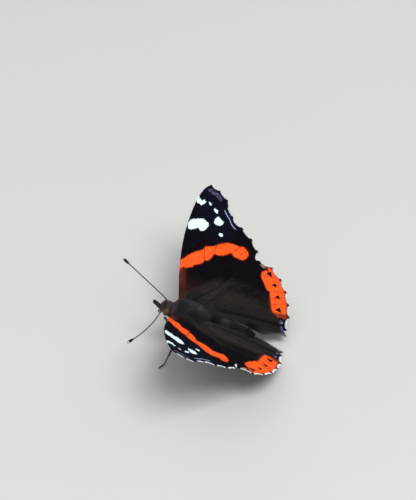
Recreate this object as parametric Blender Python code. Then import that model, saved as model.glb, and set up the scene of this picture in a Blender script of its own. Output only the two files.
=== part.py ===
# Red admiral butterfly, life size, standing on four legs with its wings half open.
#
# Lengths are millimetres and turn into metres only where an object is made.
# The animal's own frame has x to its left, y towards its tail and z up, with the
# origin midway between the two forewing hinges. The body is pitched nose up over
# the floor, and the finished animal faces -Y with its feet at z = 0.

import math

import bmesh
import bpy
from mathutils import Vector
from mathutils.geometry import delaunay_2d_cdt

MM = 0.001

# Stance
GAP = 0.3                      # clearance between neighbouring nodes
BODY_PITCH = math.radians(17.2)
HINGE_HEIGHT = 7.6             # forewing hinges above the floor
CENTRE_Y = 2.17                # middle of the animal's box along y, taken to y = 0
FOOT_FLAT = 0.16               # height under which a foot is set flat on the floor

# Wings
MEMBRANE = 0.52                # thickness of a wing
RIDGE_HEIGHT = 0.20            # how far a vein stands out of each face
RIDGE_HALF_WIDTH = 0.42
VEIN_STEP = 2.0                # spacing of a wing's net along its veins
FILL_STEP = 2.4                # and between them
HINGE_OFFSET = 2.0             # hinge line from the middle plane
FOREWING_HINGE_Z = 0.69
HINDWING_HINGE_Y = 2.2
HINDWING_HINGE_Z = 0.39
DIHEDRAL = math.radians(17.05)
WING_TWIST = math.radians(3.1)
FOREWING_SWEEP = math.radians(25.5)
OVERLAP_LIFT = 0.42            # forewing raised over the hindwing
OVERLAP_DROP = 0.42            # hindwing lowered under the forewing
HUMERAL_REACH = 2.5            # the hindwing's front corner, kept clear of the thorax

# Body sections: y, half width, top, bottom
WIDEST_LEVEL = 0.62            # share of a section's height at which it is widest
THORAX_SECTIONS = (
    (-3.65, 1.20, 0.72, -1.40),
    (-3.30, 1.75, 1.35, -1.95),
    (-2.40, 2.30, 1.85, -2.65),
    (-0.80, 2.60, 2.10, -3.10),
    (0.90, 2.50, 1.95, -2.95),
    (2.30, 2.05, 1.45, -2.40),
    (3.20, 1.45, 0.85, -1.70),
)
ABDOMEN_SECTIONS = (
    (3.38, 1.25, 0.72, -1.60),
    (5.00, 1.62, 1.05, -2.00),
    (7.20, 1.70, 1.05, -2.10),
    (9.40, 1.48, 0.85, -1.85),
    (11.40, 1.08, 0.52, -1.35),
    (12.80, 0.58, 0.18, -0.85),
)
ABDOMEN_SEGMENTS = 8
SEGMENT_STEP = 0.10            # each ring's rear edge stands over the next ring
ABDOMEN_TIP = 0.35             # the rounded end behind the last ring

HEAD_CENTRE = (0.0, -5.08, -0.50)
HEAD_RADII = (1.50, 1.12, 1.40)
CHIN_DEPTH = 1.10              # the head is shallower below its centre
EYE_CENTRE = (1.12, -4.97, -0.72)
EYE_RADII = (0.90, 0.72, 0.88)
EYE_CUT_X = 1.02               # flat inner side of an eye


def smooth_step(value):
    t = min(max(value, 0.0), 1.0)
    return t * t * (3.0 - 2.0 * t)


def mix(a, b, t):
    return a + (b - a) * t


def curve_point(points, position):
    # point on a smooth curve through the given points, position counted in spans
    last = len(points) - 1
    index = min(int(position), last - 1)
    t = position - index
    p1 = points[index]
    p2 = points[index + 1]
    p0 = points[index - 1] if index > 0 else [2 * a - b for a, b in zip(p1, p2)]
    p3 = points[index + 2] if index + 2 <= last else [2 * b - a for a, b in zip(p1, p2)]
    weights = (
        -0.5 * t + t * t - 0.5 * t ** 3,
        1.0 - 2.5 * t * t + 1.5 * t ** 3,
        0.5 * t + 2.0 * t * t - 1.5 * t ** 3,
        -0.5 * t * t + 0.5 * t ** 3,
    )
    return tuple(sum(w * p[k] for w, p in zip(weights, (p0, p1, p2, p3))) for k in range(len(p1)))


def curve(points, per_span):
    count = (len(points) - 1) * per_span
    return [curve_point(points, i / per_span) for i in range(count + 1)]


def section_at(sections, y):
    # half width, top and bottom of a body at y
    last = len(sections) - 1
    if y <= sections[0][0]:
        return sections[0][1:]
    for index in range(last):
        if y <= sections[index + 1][0]:
            t = (y - sections[index][0]) / (sections[index + 1][0] - sections[index][0])
            return curve_point(sections, index + t)[1:]
    return sections[last][1:]


def middle_height(top, bottom):
    # the widest level of a body section
    return mix(bottom, top, WIDEST_LEVEL)


def section_point(sections, y, angle, clear=0.0):
    # point on a body section; angle 0 is the animal's left, a quarter turn is its back
    half_width, top, bottom = section_at(sections, y)
    middle = middle_height(top, bottom)
    height = (top - middle) if math.sin(angle) > 0 else (middle - bottom)
    return (
        (half_width + clear) * math.cos(angle),
        y,
        middle + (height + clear) * math.sin(angle),
    )


def section_normal(sections, y, angle):
    # outward direction of the skin at that point
    step = 0.05
    around = Vector(section_point(sections, y, angle + step)) - Vector(section_point(sections, y, angle - step))
    along = Vector(section_point(sections, y + step, angle)) - Vector(section_point(sections, y - step, angle))
    normal = along.cross(around).normalized()
    spoke = Vector((math.cos(angle), 0.0, math.sin(angle)))
    return normal if normal.dot(spoke) > 0 else -normal


def half_width_at(sections, y, z):
    # half width of a body at y and height z, nothing past its ends
    if y < sections[0][0] or y > sections[-1][0]:
        return 0.0
    half_width, top, bottom = section_at(sections, y)
    middle = middle_height(top, bottom)
    height = (top - middle) if z > middle else (middle - bottom)
    return half_width * math.sqrt(max(0.0, 1.0 - ((z - middle) / height) ** 2))


# Objects and materials


def make_material(name, color, roughness, metallic=0.0):
    material = bpy.data.materials.new(name)
    material.use_nodes = True
    shader = material.node_tree.nodes["Principled BSDF"]
    shader.inputs["Base Color"].default_value = (*color, 1.0)
    shader.inputs["Roughness"].default_value = roughness
    shader.inputs["Metallic"].default_value = metallic
    material.diffuse_color = (*color, 1.0)
    return material


def add_object(name, mesh, material, parent, smooth_angle=math.radians(40)):
    mesh.materials.append(material)
    mesh.shade_smooth()
    mesh.set_sharp_from_angle(angle=smooth_angle)
    obj = bpy.data.objects.new(name, mesh)
    bpy.context.collection.objects.link(obj)
    obj.parent = parent
    return obj


def mesh_from(name, points, faces):
    mesh = bpy.data.meshes.new(name)
    mesh.from_pydata([tuple(c * MM for c in p) for p in points], [], faces)
    shape = bmesh.new()
    shape.from_mesh(mesh)
    bmesh.ops.triangulate(shape, faces=[f for f in shape.faces if len(f.verts) > 4])
    bmesh.ops.recalc_face_normals(shape, faces=shape.faces)
    shape.to_mesh(mesh)
    shape.free()
    return mesh


def loft(name, rings):
    # closed skin through rings of the same count, with a flat cap at each end
    count = len(rings[0])
    points = [p for ring in rings for p in ring]
    faces = [tuple(range(count)), tuple((len(rings) - 1) * count + i for i in range(count))]
    for r in range(len(rings) - 1):
        for i in range(count):
            j = (i + 1) % count
            a = r * count
            b = a + count
            faces.append((a + i, a + j, b + j, b + i))
    return mesh_from(name, points, faces)


def tube(name, path, radii, sides, floor_level=None):
    # round tube along a path of points; what comes near the floor is set flat on it
    path = [Vector(p) for p in path]
    rings = []
    across = None
    for i, centre in enumerate(path):
        ahead = path[min(i + 1, len(path) - 1)]
        behind = path[max(i - 1, 0)]
        along = (ahead - behind).normalized()
        if across is None:
            across = along.orthogonal().normalized()
        across = (across - along * across.dot(along)).normalized()
        upward = along.cross(across)
        ring = []
        for s in range(sides):
            turn = 2.0 * math.pi * s / sides
            point = centre + (across * math.cos(turn) + upward * math.sin(turn)) * radii[i]
            if floor_level is not None and point.z < floor_level + FOOT_FLAT:
                point.z = floor_level
            ring.append(tuple(point))
        rings.append(ring)
    return loft(name, rings)


def head_rings(rows, columns):
    # rings from front to back, the poles closed by very small caps
    centre, radii = HEAD_CENTRE, HEAD_RADII
    rings = []
    for row in range(rows + 1):
        angle = math.pi * (0.04 + 0.92 * row / rows)
        ring = []
        for column in range(columns):
            turn = 2.0 * math.pi * column / columns
            height = radii[2] if turn < math.pi else CHIN_DEPTH
            ring.append((
                centre[0] + radii[0] * math.sin(angle) * math.cos(turn),
                centre[1] - radii[1] * math.cos(angle),
                centre[2] + height * math.sin(angle) * math.sin(turn),
            ))
        rings.append(ring)
    return rings


def cut_away(obj, cutter):
    # takes the cutter out of the object for good, then drops the cutter
    modifier = obj.modifiers.new("cut", "BOOLEAN")
    modifier.operation = "DIFFERENCE"
    modifier.solver = "EXACT"
    modifier.object = cutter
    bpy.context.view_layer.update()
    result = bpy.data.meshes.new_from_object(obj.evaluated_get(bpy.context.evaluated_depsgraph_get()))
    obj.modifiers.clear()
    obj.data = result
    bpy.data.objects.remove(cutter)


# Head


def make_head(parent, materials):
    mesh = loft("head", head_rings(14, 20))
    head = add_object("head", mesh, materials["fur"], parent)
    for side, word in ((1, "left"), (-1, "right")):
        centre = (side * EYE_CENTRE[0], EYE_CENTRE[1], EYE_CENTRE[2])
        socket_radii = tuple(r + GAP for r in EYE_RADII)
        mesh = loft("socket", side_cap_rings(centre, socket_radii, side, EYE_CUT_X - GAP, 8, 18))
        cut_away(head, add_object("socket", mesh, materials["fur"], parent))
        mesh = loft("eye_" + word, side_cap_rings(centre, EYE_RADII, side, EYE_CUT_X, 8, 18))
        add_object("eye_" + word, mesh, materials["eye"], parent)


def side_cap_rings(centre, radii, side, cut_x, rows, columns):
    # the outer part of an ellipsoid, cut flat at x = cut_x on the given side
    start = math.asin(min(max((cut_x - abs(centre[0])) / radii[0], -0.95), 0.95))
    rings = []
    for row in range(rows + 1):
        angle = mix(start, math.radians(86), row / rows)
        ring = []
        for column in range(columns):
            turn = 2.0 * math.pi * column / columns
            ring.append((
                centre[0] + side * radii[0] * math.sin(angle),
                centre[1] + radii[1] * math.cos(angle) * math.cos(turn),
                centre[2] + radii[2] * math.cos(angle) * math.sin(turn),
            ))
        rings.append(ring)
    return rings


# Feelers and mouth parts

ANTENNA_BASE = (0.52, -5.45, 0.75)       # where it grows out of the head
ANTENNA_KNEES = {"left": (1.60, -5.72, 0.70), "right": (-1.45, -6.10, 0.98)}
ANTENNA_TIPS = {"left": (11.43, -10.85, -3.60), "right": (-8.10, -16.00, 2.06)}
ANTENNA_BOWS = {"left": (0.0, 0.70, -0.42), "right": (0.0, 0.03, 0.0)}
ANTENNA_CLEAR = 0.20                     # how much further than the gap it starts from the head
ANTENNA_RADIUS = 0.25
CLUB_RADIUS = 0.42
CLUB_START = 0.80                        # share of the length where the club begins
CLUB_RISE = 0.09                         # share over which it reaches its full width
CLUB_TIP_RADIUS = 0.16
ANTENNA_STEPS = 16
PALP_PATH = ((0.50, -6.60, -0.56), (0.50, -6.95, -0.34), (0.48, -7.38, -0.12), (0.40, -7.95, 0.04))
PALP_RADII = (0.30, 0.36, 0.33, 0.13)
COIL_ROOT = (0.0, -5.70, -1.86)          # the coiled tongue hangs from under the face
COIL_DROP = 0.32
COIL_OUTER = 0.60
COIL_INNER = 0.34
COIL_TURNS = 0.72
COIL_RADIUS = 0.25
COIL_STEPS = 16


def make_antenna(word, side, parent, materials):
    base = Vector((side * ANTENNA_BASE[0], ANTENNA_BASE[1], ANTENNA_BASE[2]))
    knee = Vector(ANTENNA_KNEES[word])
    tip = Vector(ANTENNA_TIPS[word])
    bow = Vector(ANTENNA_BOWS[word])
    out = [(b - c) / (r * r) for b, c, r in zip(base, (0.0, *HEAD_CENTRE[1:]), HEAD_RADII)]
    start = base + Vector(out).normalized() * (GAP + ANTENNA_CLEAR)
    joints = [start, knee] + [knee.lerp(tip, t) + bow * (4.0 * t * (1.0 - t)) for t in (0.35, 0.7, 1.0)]
    path = []
    radii = []
    for i in range(ANTENNA_STEPS + 1):
        t = i / ANTENNA_STEPS
        radius = mix(ANTENNA_RADIUS, CLUB_RADIUS, smooth_step((t - CLUB_START) / CLUB_RISE))
        if i == ANTENNA_STEPS:
            radius = CLUB_TIP_RADIUS
        path.append(curve_point(joints, t * (len(joints) - 1)))
        radii.append(radius)
    add_object("antenna_" + word, tube("antenna_" + word, path, radii, 8), materials["antenna"], parent)


def make_palp(word, side, parent, materials):
    points = [(side * p[0], p[1], p[2]) for p in PALP_PATH]
    path = curve(points, 3)
    radii = [r[0] for r in curve([(r,) for r in PALP_RADII], 3)]
    add_object("palp_" + word, tube("palp_" + word, path, radii, 8), materials["palp"], parent)


def make_tongue(parent, materials):
    path = [COIL_ROOT]
    centre_y = COIL_ROOT[1] - COIL_OUTER
    centre_z = COIL_ROOT[2] - COIL_DROP
    for i in range(COIL_STEPS + 1):
        t = i / COIL_STEPS
        turn = -COIL_TURNS * 2.0 * math.pi * t
        reach = mix(COIL_OUTER, COIL_INNER, t)
        path.append((COIL_ROOT[0], centre_y + reach * math.cos(turn), centre_z + reach * math.sin(turn)))
    radii = [COIL_RADIUS] * (COIL_STEPS + 1) + [0.6 * COIL_RADIUS]
    add_object("tongue", tube("tongue", path, radii, 8), materials["antenna"], parent)


# Thorax and abdomen


def body_ring(sections, y, columns, swell=0.0):
    return [section_point(sections, y, 2.0 * math.pi * c / columns, swell) for c in range(columns)]


def make_thorax(parent, materials):
    first = THORAX_SECTIONS[0][0]
    last = THORAX_SECTIONS[-1][0]
    rows = 13
    rings = [body_ring(THORAX_SECTIONS, mix(first, last, row / rows), 22) for row in range(rows + 1)]
    add_object("thorax", loft("thorax", rings), materials["fur"], parent)


def make_abdomen(parent, materials):
    first = ABDOMEN_SECTIONS[0][0]
    last = ABDOMEN_SECTIONS[-1][0]
    columns = 18
    rings = []
    for segment in range(ABDOMEN_SEGMENTS):
        front = mix(first, last, segment / ABDOMEN_SEGMENTS)
        rear = mix(first, last, (segment + 1) / ABDOMEN_SEGMENTS)
        for y, swell in ((front + 0.12, -SEGMENT_STEP), (mix(front, rear, 0.55), -0.25 * SEGMENT_STEP),
                         (rear - 0.04, 0.0)):
            rings.append(body_ring(ABDOMEN_SECTIONS, y, columns, swell))
    middle = middle_height(*ABDOMEN_SECTIONS[-1][2:])
    for share, narrowing in ((0.5, 0.85), (1.0, 0.45)):
        rings.append([
            (x * narrowing, last + share * ABDOMEN_TIP, middle + (z - middle) * narrowing)
            for x, _, z in body_ring(ABDOMEN_SECTIONS, last, columns)
        ])
    add_object("abdomen", loft("abdomen", rings), materials["abdomen"], parent)


# Wings: a runs outwards from the hinge and b runs forwards, before the sweep

FOREWING_COSTA = ((-1.25, 3.05), (0.0, 4.0), (4.2, 7.1), (9.6, 10.55), (14.6, 13.1), (20.3, 15.25),
                  (24.0, 15.95), (26.2, 15.65))
FOREWING_ENDS = (
    # where each vein meets the outer edge, and how deep the edge dips before the next
    (26.2, 15.65, 0.12), (26.85, 13.7, 0.08), (26.6, 11.1, 0.36), (24.4, 8.0, 0.50), (24.0, 4.9, 0.34),
    (23.45, 1.8, 0.26), (22.0, -1.0, 0.16), (19.6, -2.0, 0.0),
)
FOREWING_INNER = ((19.6, -2.0), (15.3, -1.2), (11.6, -1.05), (8.2, -0.7), (4.5, 0.0), (0.55, 1.05))
FOREWING_VEINS = {
    "subcosta": ((-0.9, 2.75), (5.0, 6.6), (10.0, 9.6), (14.6, 12.8)),
    "radius_1": ((10.3, 8.1), (14.0, 10.9), (18.6, 14.2)),
    "radius_2": ((12.6, 9.0), (16.6, 11.9), (21.2, 15.1)),
    "radius_3": ((17.6, 11.9), (20.6, 13.8), (24.2, 15.6)),
    "radius_4": ((-0.7, 2.5), (5.5, 5.6), (10.3, 8.1), (13.4, 9.4), (17.6, 11.9), (22.0, 13.9), (26.0, 15.4)),
    "radius_5": ((18.6, 12.4), (22.6, 13.2), (26.6, 13.6)),
    "media_1": ((13.4, 9.4), (13.7, 8.4), (19.5, 10.1), (26.3, 11.1)),
    "media_2": ((13.7, 8.4), (13.0, 7.1), (18.5, 8.0), (24.1, 7.9)),
    "media_3": ((10.4, 5.2), (13.0, 5.5), (18.0, 5.6), (23.7, 4.9)),
    "cell_end": ((13.0, 7.1), (10.4, 5.2)),
    "cubitus_1": ((-0.4, 2.1), (4.5, 3.2), (10.4, 5.2)),
    "cubitus_2": ((8.9, 4.6), (13.5, 3.3), (18.5, 2.5), (23.1, 1.8)),
    "cubitus_3": ((5.2, 3.4), (10.5, 1.9), (16.5, 0.3), (21.7, -0.9)),
    "anal": ((0.2, 1.6), (6.5, 0.5), (13.0, -0.1), (19.4, -1.6)),
}
HINDWING_COSTA = ((-0.1, 2.2), (1.6, 3.2), (4.0, 3.4), (8.0, 2.3), (12.0, -0.2), (15.4, -3.6), (17.7, -8.7))
HINDWING_ENDS = (
    (17.7, -8.7, 0.30), (17.5, -11.7, 0.32), (15.3, -14.2, 0.32), (12.5, -15.85, 0.32), (9.3, -16.95, 0.32),
    (6.1, -17.55, 0.42), (2.3, -17.5, 0.18), (0.25, -16.9, 0.0),
)
HINDWING_TAIL = ((0.25, -16.9), (0.15, -15.5), (-0.45, -13.9), (-0.95, -12.2))
HINDWING_VEINS = {
    "humeral": ((0.3, 1.4), (1.8, 2.9)),
    "subcosta": ((0.3, 1.4), (5.0, 1.8), (10.0, 0.0), (15.2, -3.9)),
    "radius": ((0.3, 0.6), (5.0, -1.2), (11.0, -4.4), (17.4, -8.8)),
    "media_1": ((7.2, -2.4), (8.2, -4.0), (12.5, -7.7), (17.2, -11.6)),
    "media_2": ((8.2, -4.0), (8.4, -5.4), (11.8, -10.0), (15.0, -13.9)),
    "media_3": ((6.3, -5.4), (7.4, -7.0), (10.2, -11.6), (12.3, -15.5)),
    "cell_end": ((8.4, -5.4), (7.4, -7.0)),
    "cubitus_1": ((0.3, 0.0), (3.0, -2.2), (6.3, -5.4)),
    "cubitus_2": ((6.3, -5.4), (6.6, -8.0), (7.6, -12.6), (9.2, -16.6)),
    "cubitus_3": ((3.4, -2.6), (4.6, -7.0), (5.5, -12.0), (6.0, -17.2)),
    "anal": ((0.3, -0.6), (1.7, -6.0), (2.2, -12.0), (2.2, -17.1)),
}


def forewing_camber(a, b):
    # height of the wing's middle surface over its own plane
    p, q = a / 20.0, b / 20.0
    camber = -0.64 * p * p + 1.40 * p * q + 1.46 * q * q
    inner_edge = 1.0 - 0.15 * a
    return camber + OVERLAP_LIFT * smooth_step((inner_edge + 11.0 - b) / 7.0)


def hindwing_camber(a, b):
    p, q = a / 20.0, b / 20.0
    camber = 0.12 * p - 1.31 * q - 0.25 * p * p + 2.61 * p * q - 1.36 * q * q
    return camber - OVERLAP_DROP * covered(a, b)


def covered(a, b):
    # 1 where the forewing lies over the hindwing, fading to 0 behind its edge
    return smooth_step((b - (2.2 - 0.6 * a) + 3.2) / 3.0)


def wing_frame(side, is_forewing):
    outward = Vector((side * math.cos(DIHEDRAL), 0.0, math.sin(DIHEDRAL)))
    flat_normal = Vector((-side * math.sin(DIHEDRAL), 0.0, math.cos(DIHEDRAL)))
    forward = Vector((0.0, -math.cos(WING_TWIST), 0.0)) + flat_normal * math.sin(WING_TWIST)
    normal = (forward.cross(outward) * side).normalized()
    if normal.z < 0:
        normal = -normal
    if is_forewing:
        hinge = Vector((side * HINGE_OFFSET, 0.0, FOREWING_HINGE_Z))
        sweep = FOREWING_SWEEP
    else:
        hinge = Vector((side * HINGE_OFFSET, HINDWING_HINGE_Y, HINDWING_HINGE_Z))
        sweep = 0.0
    return hinge, outward, forward, normal, sweep


def wing_point(frame, a, b, height):
    hinge, outward, forward, normal, sweep = frame
    reach = a * math.cos(sweep) + b * math.sin(sweep)
    ahead = -a * math.sin(sweep) + b * math.cos(sweep)
    return hinge + outward * reach + forward * ahead + normal * height


def scalloped(ends, per_span):
    # edge through the vein ends, dipping inwards between them
    points = []
    for (a0, b0, dip), (a1, b1, _) in zip(ends, ends[1:]):
        length = math.hypot(a1 - a0, b1 - b0)
        inward = ((b1 - b0) / length, -(a1 - a0) / length)
        for i in range(per_span):
            t = i / per_span
            depth = dip * math.sin(math.pi * t)
            points.append((mix(a0, a1, t) + inward[0] * depth, mix(b0, b1, t) + inward[1] * depth))
    return points


def body_half_width(y, z):
    # widest the body comes within one gap of that place
    width = 0.0
    for along in (-GAP, 0.0, GAP):
        for rise in (-0.7 * GAP, 0.7 * GAP):
            width = max(width, half_width_at(THORAX_SECTIONS, y + along, z + rise))
            width = max(width, half_width_at(ABDOMEN_SECTIONS, y + along, z + rise))
    return width


def beside_body(frame, camber, a, b):
    # the same place moved along the wing's reach until both faces just clear the body
    sweep = frame[4]
    for _ in range(3):
        shift = -1e9
        for height in (-0.5 * MEMBRANE - RIDGE_HEIGHT, 0.0, 0.5 * MEMBRANE + RIDGE_HEIGHT):
            place = wing_point(frame, a, b, camber(a, b) + height)
            wanted = body_half_width(place.y, place.z) + GAP
            shift = max(shift, (wanted - place.x) / math.cos(DIHEDRAL))
        a += shift * math.cos(sweep)
        b += shift * math.sin(sweep)
    return (a, b)


def forewing_outline():
    points = curve(FOREWING_COSTA, 3)[:-1] + scalloped(FOREWING_ENDS, 4) + curve(FOREWING_INNER, 2)
    frame = wing_frame(1, True)
    front = FOREWING_COSTA[0]
    rear = FOREWING_INNER[-1]
    root = []
    for i in range(6):
        t = i / 5
        root.append(beside_body(frame, forewing_camber, mix(rear[0], front[0], t), mix(rear[1], front[1], t)))
    return points[1:-1] + root


def hindwing_outline():
    points = curve(HINDWING_COSTA, 3)[:-1] + scalloped(HINDWING_ENDS, 4) + curve(HINDWING_TAIL, 2)
    frame = wing_frame(1, False)
    front = HINDWING_COSTA[0][1]
    rear = HINDWING_TAIL[-1][1]
    steps = 13
    root = []
    for i in range(1, steps + 1):
        a, b = beside_body(frame, hindwing_camber, 0.0, mix(rear, front, i / steps))
        free_edge = mix(HINDWING_TAIL[-1][0], HINDWING_TAIL[-1][0] + 0.6, i / steps)
        root.append((max(a, free_edge), b))
    clear = []
    for a, b in points[1:]:
        if a < HUMERAL_REACH and b > 0.0:
            a = max(a, beside_body(frame, hindwing_camber, a, b)[0])
        clear.append((a, b))
    return clear + root


def distance_to_line(point, line):
    best = 1e9
    for (x0, y0), (x1, y1) in zip(line, line[1:]):
        dx, dy = x1 - x0, y1 - y0
        t = ((point[0] - x0) * dx + (point[1] - y0) * dy) / max(dx * dx + dy * dy, 1e-9)
        t = min(max(t, 0.0), 1.0)
        best = min(best, math.hypot(point[0] - x0 - t * dx, point[1] - y0 - t * dy))
    return best


def inside(point, outline):
    found = False
    for (x0, y0), (x1, y1) in zip(outline, outline[1:] + outline[:1]):
        if (y0 > point[1]) != (y1 > point[1]):
            if point[0] < (x1 - x0) * (point[1] - y0) / (y1 - y0) + x0:
                found = not found
    return found


def even_steps(line, spacing):
    # the line walked again with points about one spacing apart
    fine = curve(line, 8)
    lengths = [0.0]
    for p, q in zip(fine, fine[1:]):
        lengths.append(lengths[-1] + math.hypot(q[0] - p[0], q[1] - p[1]))
    count = max(2, round(lengths[-1] / spacing))
    points = []
    index = 0
    for i in range(count + 1):
        goal = lengths[-1] * i / count
        while index < len(fine) - 2 and lengths[index + 1] < goal:
            index += 1
        span = max(lengths[index + 1] - lengths[index], 1e-9)
        t = (goal - lengths[index]) / span
        points.append((mix(fine[index][0], fine[index + 1][0], t), mix(fine[index][1], fine[index + 1][1], t)))
    return points


def wing_mesh(name, side, is_forewing, outline, veins):
    # one triangle net, set out flat, serves both faces of the wing
    frame = wing_frame(side, is_forewing)
    camber = forewing_camber if is_forewing else hindwing_camber
    closed = outline + outline[:1]
    vein_lines = [even_steps(line, VEIN_STEP) for line in veins.values()]
    net = list(outline)

    def room_for(point, clear):
        return all(math.hypot(point[0] - q[0], point[1] - q[1]) > clear for q in net)

    for line in vein_lines:
        for point in line:
            if inside(point, outline) and distance_to_line(point, closed) > 0.25 and room_for(point, 0.3):
                net.append(point)
    for line in vein_lines:
        for (x0, y0), (x1, y1) in zip(line, line[1:]):
            length = math.hypot(x1 - x0, y1 - y0)
            for turn in (-1, 1):
                point = (
                    0.5 * (x0 + x1) - turn * RIDGE_HALF_WIDTH * (y1 - y0) / length,
                    0.5 * (y0 + y1) + turn * RIDGE_HALF_WIDTH * (x1 - x0) / length,
                )
                clear_of_veins = min(distance_to_line(point, other) for other in vein_lines)
                if not inside(point, outline) or distance_to_line(point, closed) < 0.3:
                    continue
                if clear_of_veins > 0.8 * RIDGE_HALF_WIDTH and room_for(point, 0.35):
                    net.append(point)
    low_a = min(p[0] for p in outline)
    high_a = max(p[0] for p in outline)
    low_b = min(p[1] for p in outline)
    high_b = max(p[1] for p in outline)
    row = 0
    b = low_b
    while b < high_b:
        a = low_a + (0.5 * FILL_STEP if row % 2 else 0.0)
        while a < high_a:
            if inside((a, b), outline) and distance_to_line((a, b), closed) > 0.5 * FILL_STEP:
                if room_for((a, b), 0.6 * FILL_STEP):
                    net.append((a, b))
            a += FILL_STEP
        b += 0.866 * FILL_STEP
        row += 1
    count = len(outline)
    edges = [(i, (i + 1) % count) for i in range(count)]
    flat, _, triangles, _, _, _ = delaunay_2d_cdt([Vector(p) for p in net], edges, [], 1, 1e-5)
    top = []
    bottom = []
    for spot in flat:
        a, b = spot
        nearest = min(distance_to_line((a, b), line) for line in vein_lines)
        ridge = RIDGE_HEIGHT * max(0.0, 1.0 - nearest / RIDGE_HALF_WIDTH)
        if is_forewing:
            under = ridge * smooth_step((b - (1.0 - 0.15 * a) - 4.5) / 2.0)
            over = ridge
        else:
            under = ridge
            over = ridge * (1.0 - smooth_step((b - (2.2 - 0.6 * a) + 1.5) / 1.2))
        height = camber(a, b)
        top.append(tuple(wing_point(frame, a, b, height + 0.5 * MEMBRANE + over)))
        bottom.append(tuple(wing_point(frame, a, b, height - 0.5 * MEMBRANE - under)))
    offset = len(top)
    faces = [tuple(t) for t in triangles]
    faces += [tuple(reversed([v + offset for v in t])) for t in triangles]
    used = {}
    for t in triangles:
        for i in range(3):
            used[(t[i], t[(i + 1) % 3])] = True
    for (p, q) in list(used):
        if (q, p) not in used:
            faces.append((q, p, p + offset))
            faces.append((q, p + offset, q + offset))
    return mesh_from(name, top + bottom, faces)


def make_wings(parent, materials):
    for side, word in ((1, "left"), (-1, "right")):
        front = "forewing_" + word
        rear = "hindwing_" + word
        mesh = wing_mesh(front, side, True, forewing_outline(), FOREWING_VEINS)
        add_object(front, mesh, materials["forewing"], parent, math.radians(60))
        mesh = wing_mesh(rear, side, False, hindwing_outline(), HINDWING_VEINS)
        add_object(rear, mesh, materials["hindwing"], parent, math.radians(60))


# Legs: the walking pairs stand on the floor, the front pair is held up to the chest

LEG_RADII = (0.36, 0.36, 0.30, 0.27, 0.25, 0.25, 0.25)
# root y and angle on the thorax in the animal's frame, then points over the floor
WALKING_LEGS = {
    "midleg": (0.2, math.radians(-62), ((4.3, -2.2, 5.5), (6.3, -3.6, 1.9), (7.6, -4.6, 0.22), (9.0, -5.5, 0.22))),
    "hindleg": (2.0, math.radians(-58), ((3.6, 4.6, 5.0), (5.4, 8.3, 1.9), (6.4, 9.9, 0.22), (7.3, 11.4, 0.22))),
}
FORELEG_ROOT = (-2.4, math.radians(-68))
FORELEG_PATH = ((1.28, -3.45, -3.35), (1.16, -4.40, -3.10), (0.85, -5.00, -2.60))
FORELEG_RADII = (0.32, 0.25)


def over_floor(point):
    # from the animal's frame to the floor's, before the box is centred
    x, y, z = point
    return (
        x,
        y * math.cos(BODY_PITCH) + z * math.sin(BODY_PITCH),
        -y * math.sin(BODY_PITCH) + z * math.cos(BODY_PITCH) + HINGE_HEIGHT,
    )


def leg_root(y, angle, side):
    # point just off the thorax, and one further out along its normal
    skin = Vector(section_point(THORAX_SECTIONS, y, angle))
    normal = section_normal(THORAX_SECTIONS, y, angle)
    near = skin + normal * (GAP + 0.03)
    far = near + normal * 0.7
    return [(side * near.x, near.y, near.z), (side * far.x, far.y, far.z)]


def make_legs(animal, floor, materials):
    for side, word in ((1, "left"), (-1, "right")):
        for kind, (y, angle, stations) in WALKING_LEGS.items():
            root = [over_floor(p) for p in leg_root(y, angle, side)]
            joints = root + [(side * p[0], p[1], p[2]) for p in stations]
            path = [joints[0]]
            radii = [LEG_RADII[0]]
            for i in range(1, len(joints)):
                for t in ((0.5, 1.0) if i < len(joints) - 1 else (0.35, 0.7, 1.0)):
                    path.append(tuple(mix(a, b, t) for a, b in zip(joints[i - 1], joints[i])))
                    radii.append(mix(LEG_RADII[i - 1], LEG_RADII[i], t))
            name = kind + "_" + word
            add_object(name, tube(name, path, radii, 8, 0.0), materials["leg"], floor)
        root = leg_root(*FORELEG_ROOT, side)
        points = root + [(side * p[0], p[1], p[2]) for p in FORELEG_PATH]
        path = curve(points, 2)
        radii = [mix(*FORELEG_RADII, i / (len(path) - 1)) for i in range(len(path))]
        name = "foreleg_" + word
        add_object(name, tube(name, path, radii, 8), materials["leg"], animal)


def build():
    for obj in list(bpy.data.objects):
        bpy.data.objects.remove(obj)
    materials = {
        "fur": make_material("fur", (0.045, 0.042, 0.045), 0.9),
        "abdomen": make_material("abdomen", (0.035, 0.028, 0.024), 0.85),
        "eye": make_material("eye", (0.10, 0.06, 0.035), 0.35),
        "antenna": make_material("antenna", (0.03, 0.027, 0.025), 0.6),
        "palp": make_material("palp", (0.035, 0.03, 0.03), 0.85),
        "leg": make_material("leg", (0.12, 0.09, 0.06), 0.6),
        "forewing": make_material("forewing", (0.02, 0.015, 0.02), 0.75),
        "hindwing": make_material("hindwing", (0.035, 0.025, 0.02), 0.75),
    }
    floor = bpy.data.objects.new("stance", None)
    bpy.context.collection.objects.link(floor)
    floor.location = (0.0, -CENTRE_Y * MM, 0.0)
    animal = bpy.data.objects.new("animal", None)
    bpy.context.collection.objects.link(animal)
    animal.parent = floor
    animal.location = (0.0, 0.0, HINGE_HEIGHT * MM)
    animal.rotation_euler = (-BODY_PITCH, 0.0, 0.0)
    bpy.context.view_layer.update()
    make_head(animal, materials)
    make_thorax(animal, materials)
    make_abdomen(animal, materials)
    make_wings(animal, materials)
    for side, word in ((1, "left"), (-1, "right")):
        make_antenna(word, side, animal, materials)
        make_palp(word, side, animal, materials)
    make_tongue(animal, materials)
    make_legs(animal, floor, materials)
    bpy.context.view_layer.update()


build()
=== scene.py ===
import math

import bmesh
import bpy
import numpy as np
from mathutils import Matrix, Vector
from mathutils.geometry import delaunay_2d_cdt


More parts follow.
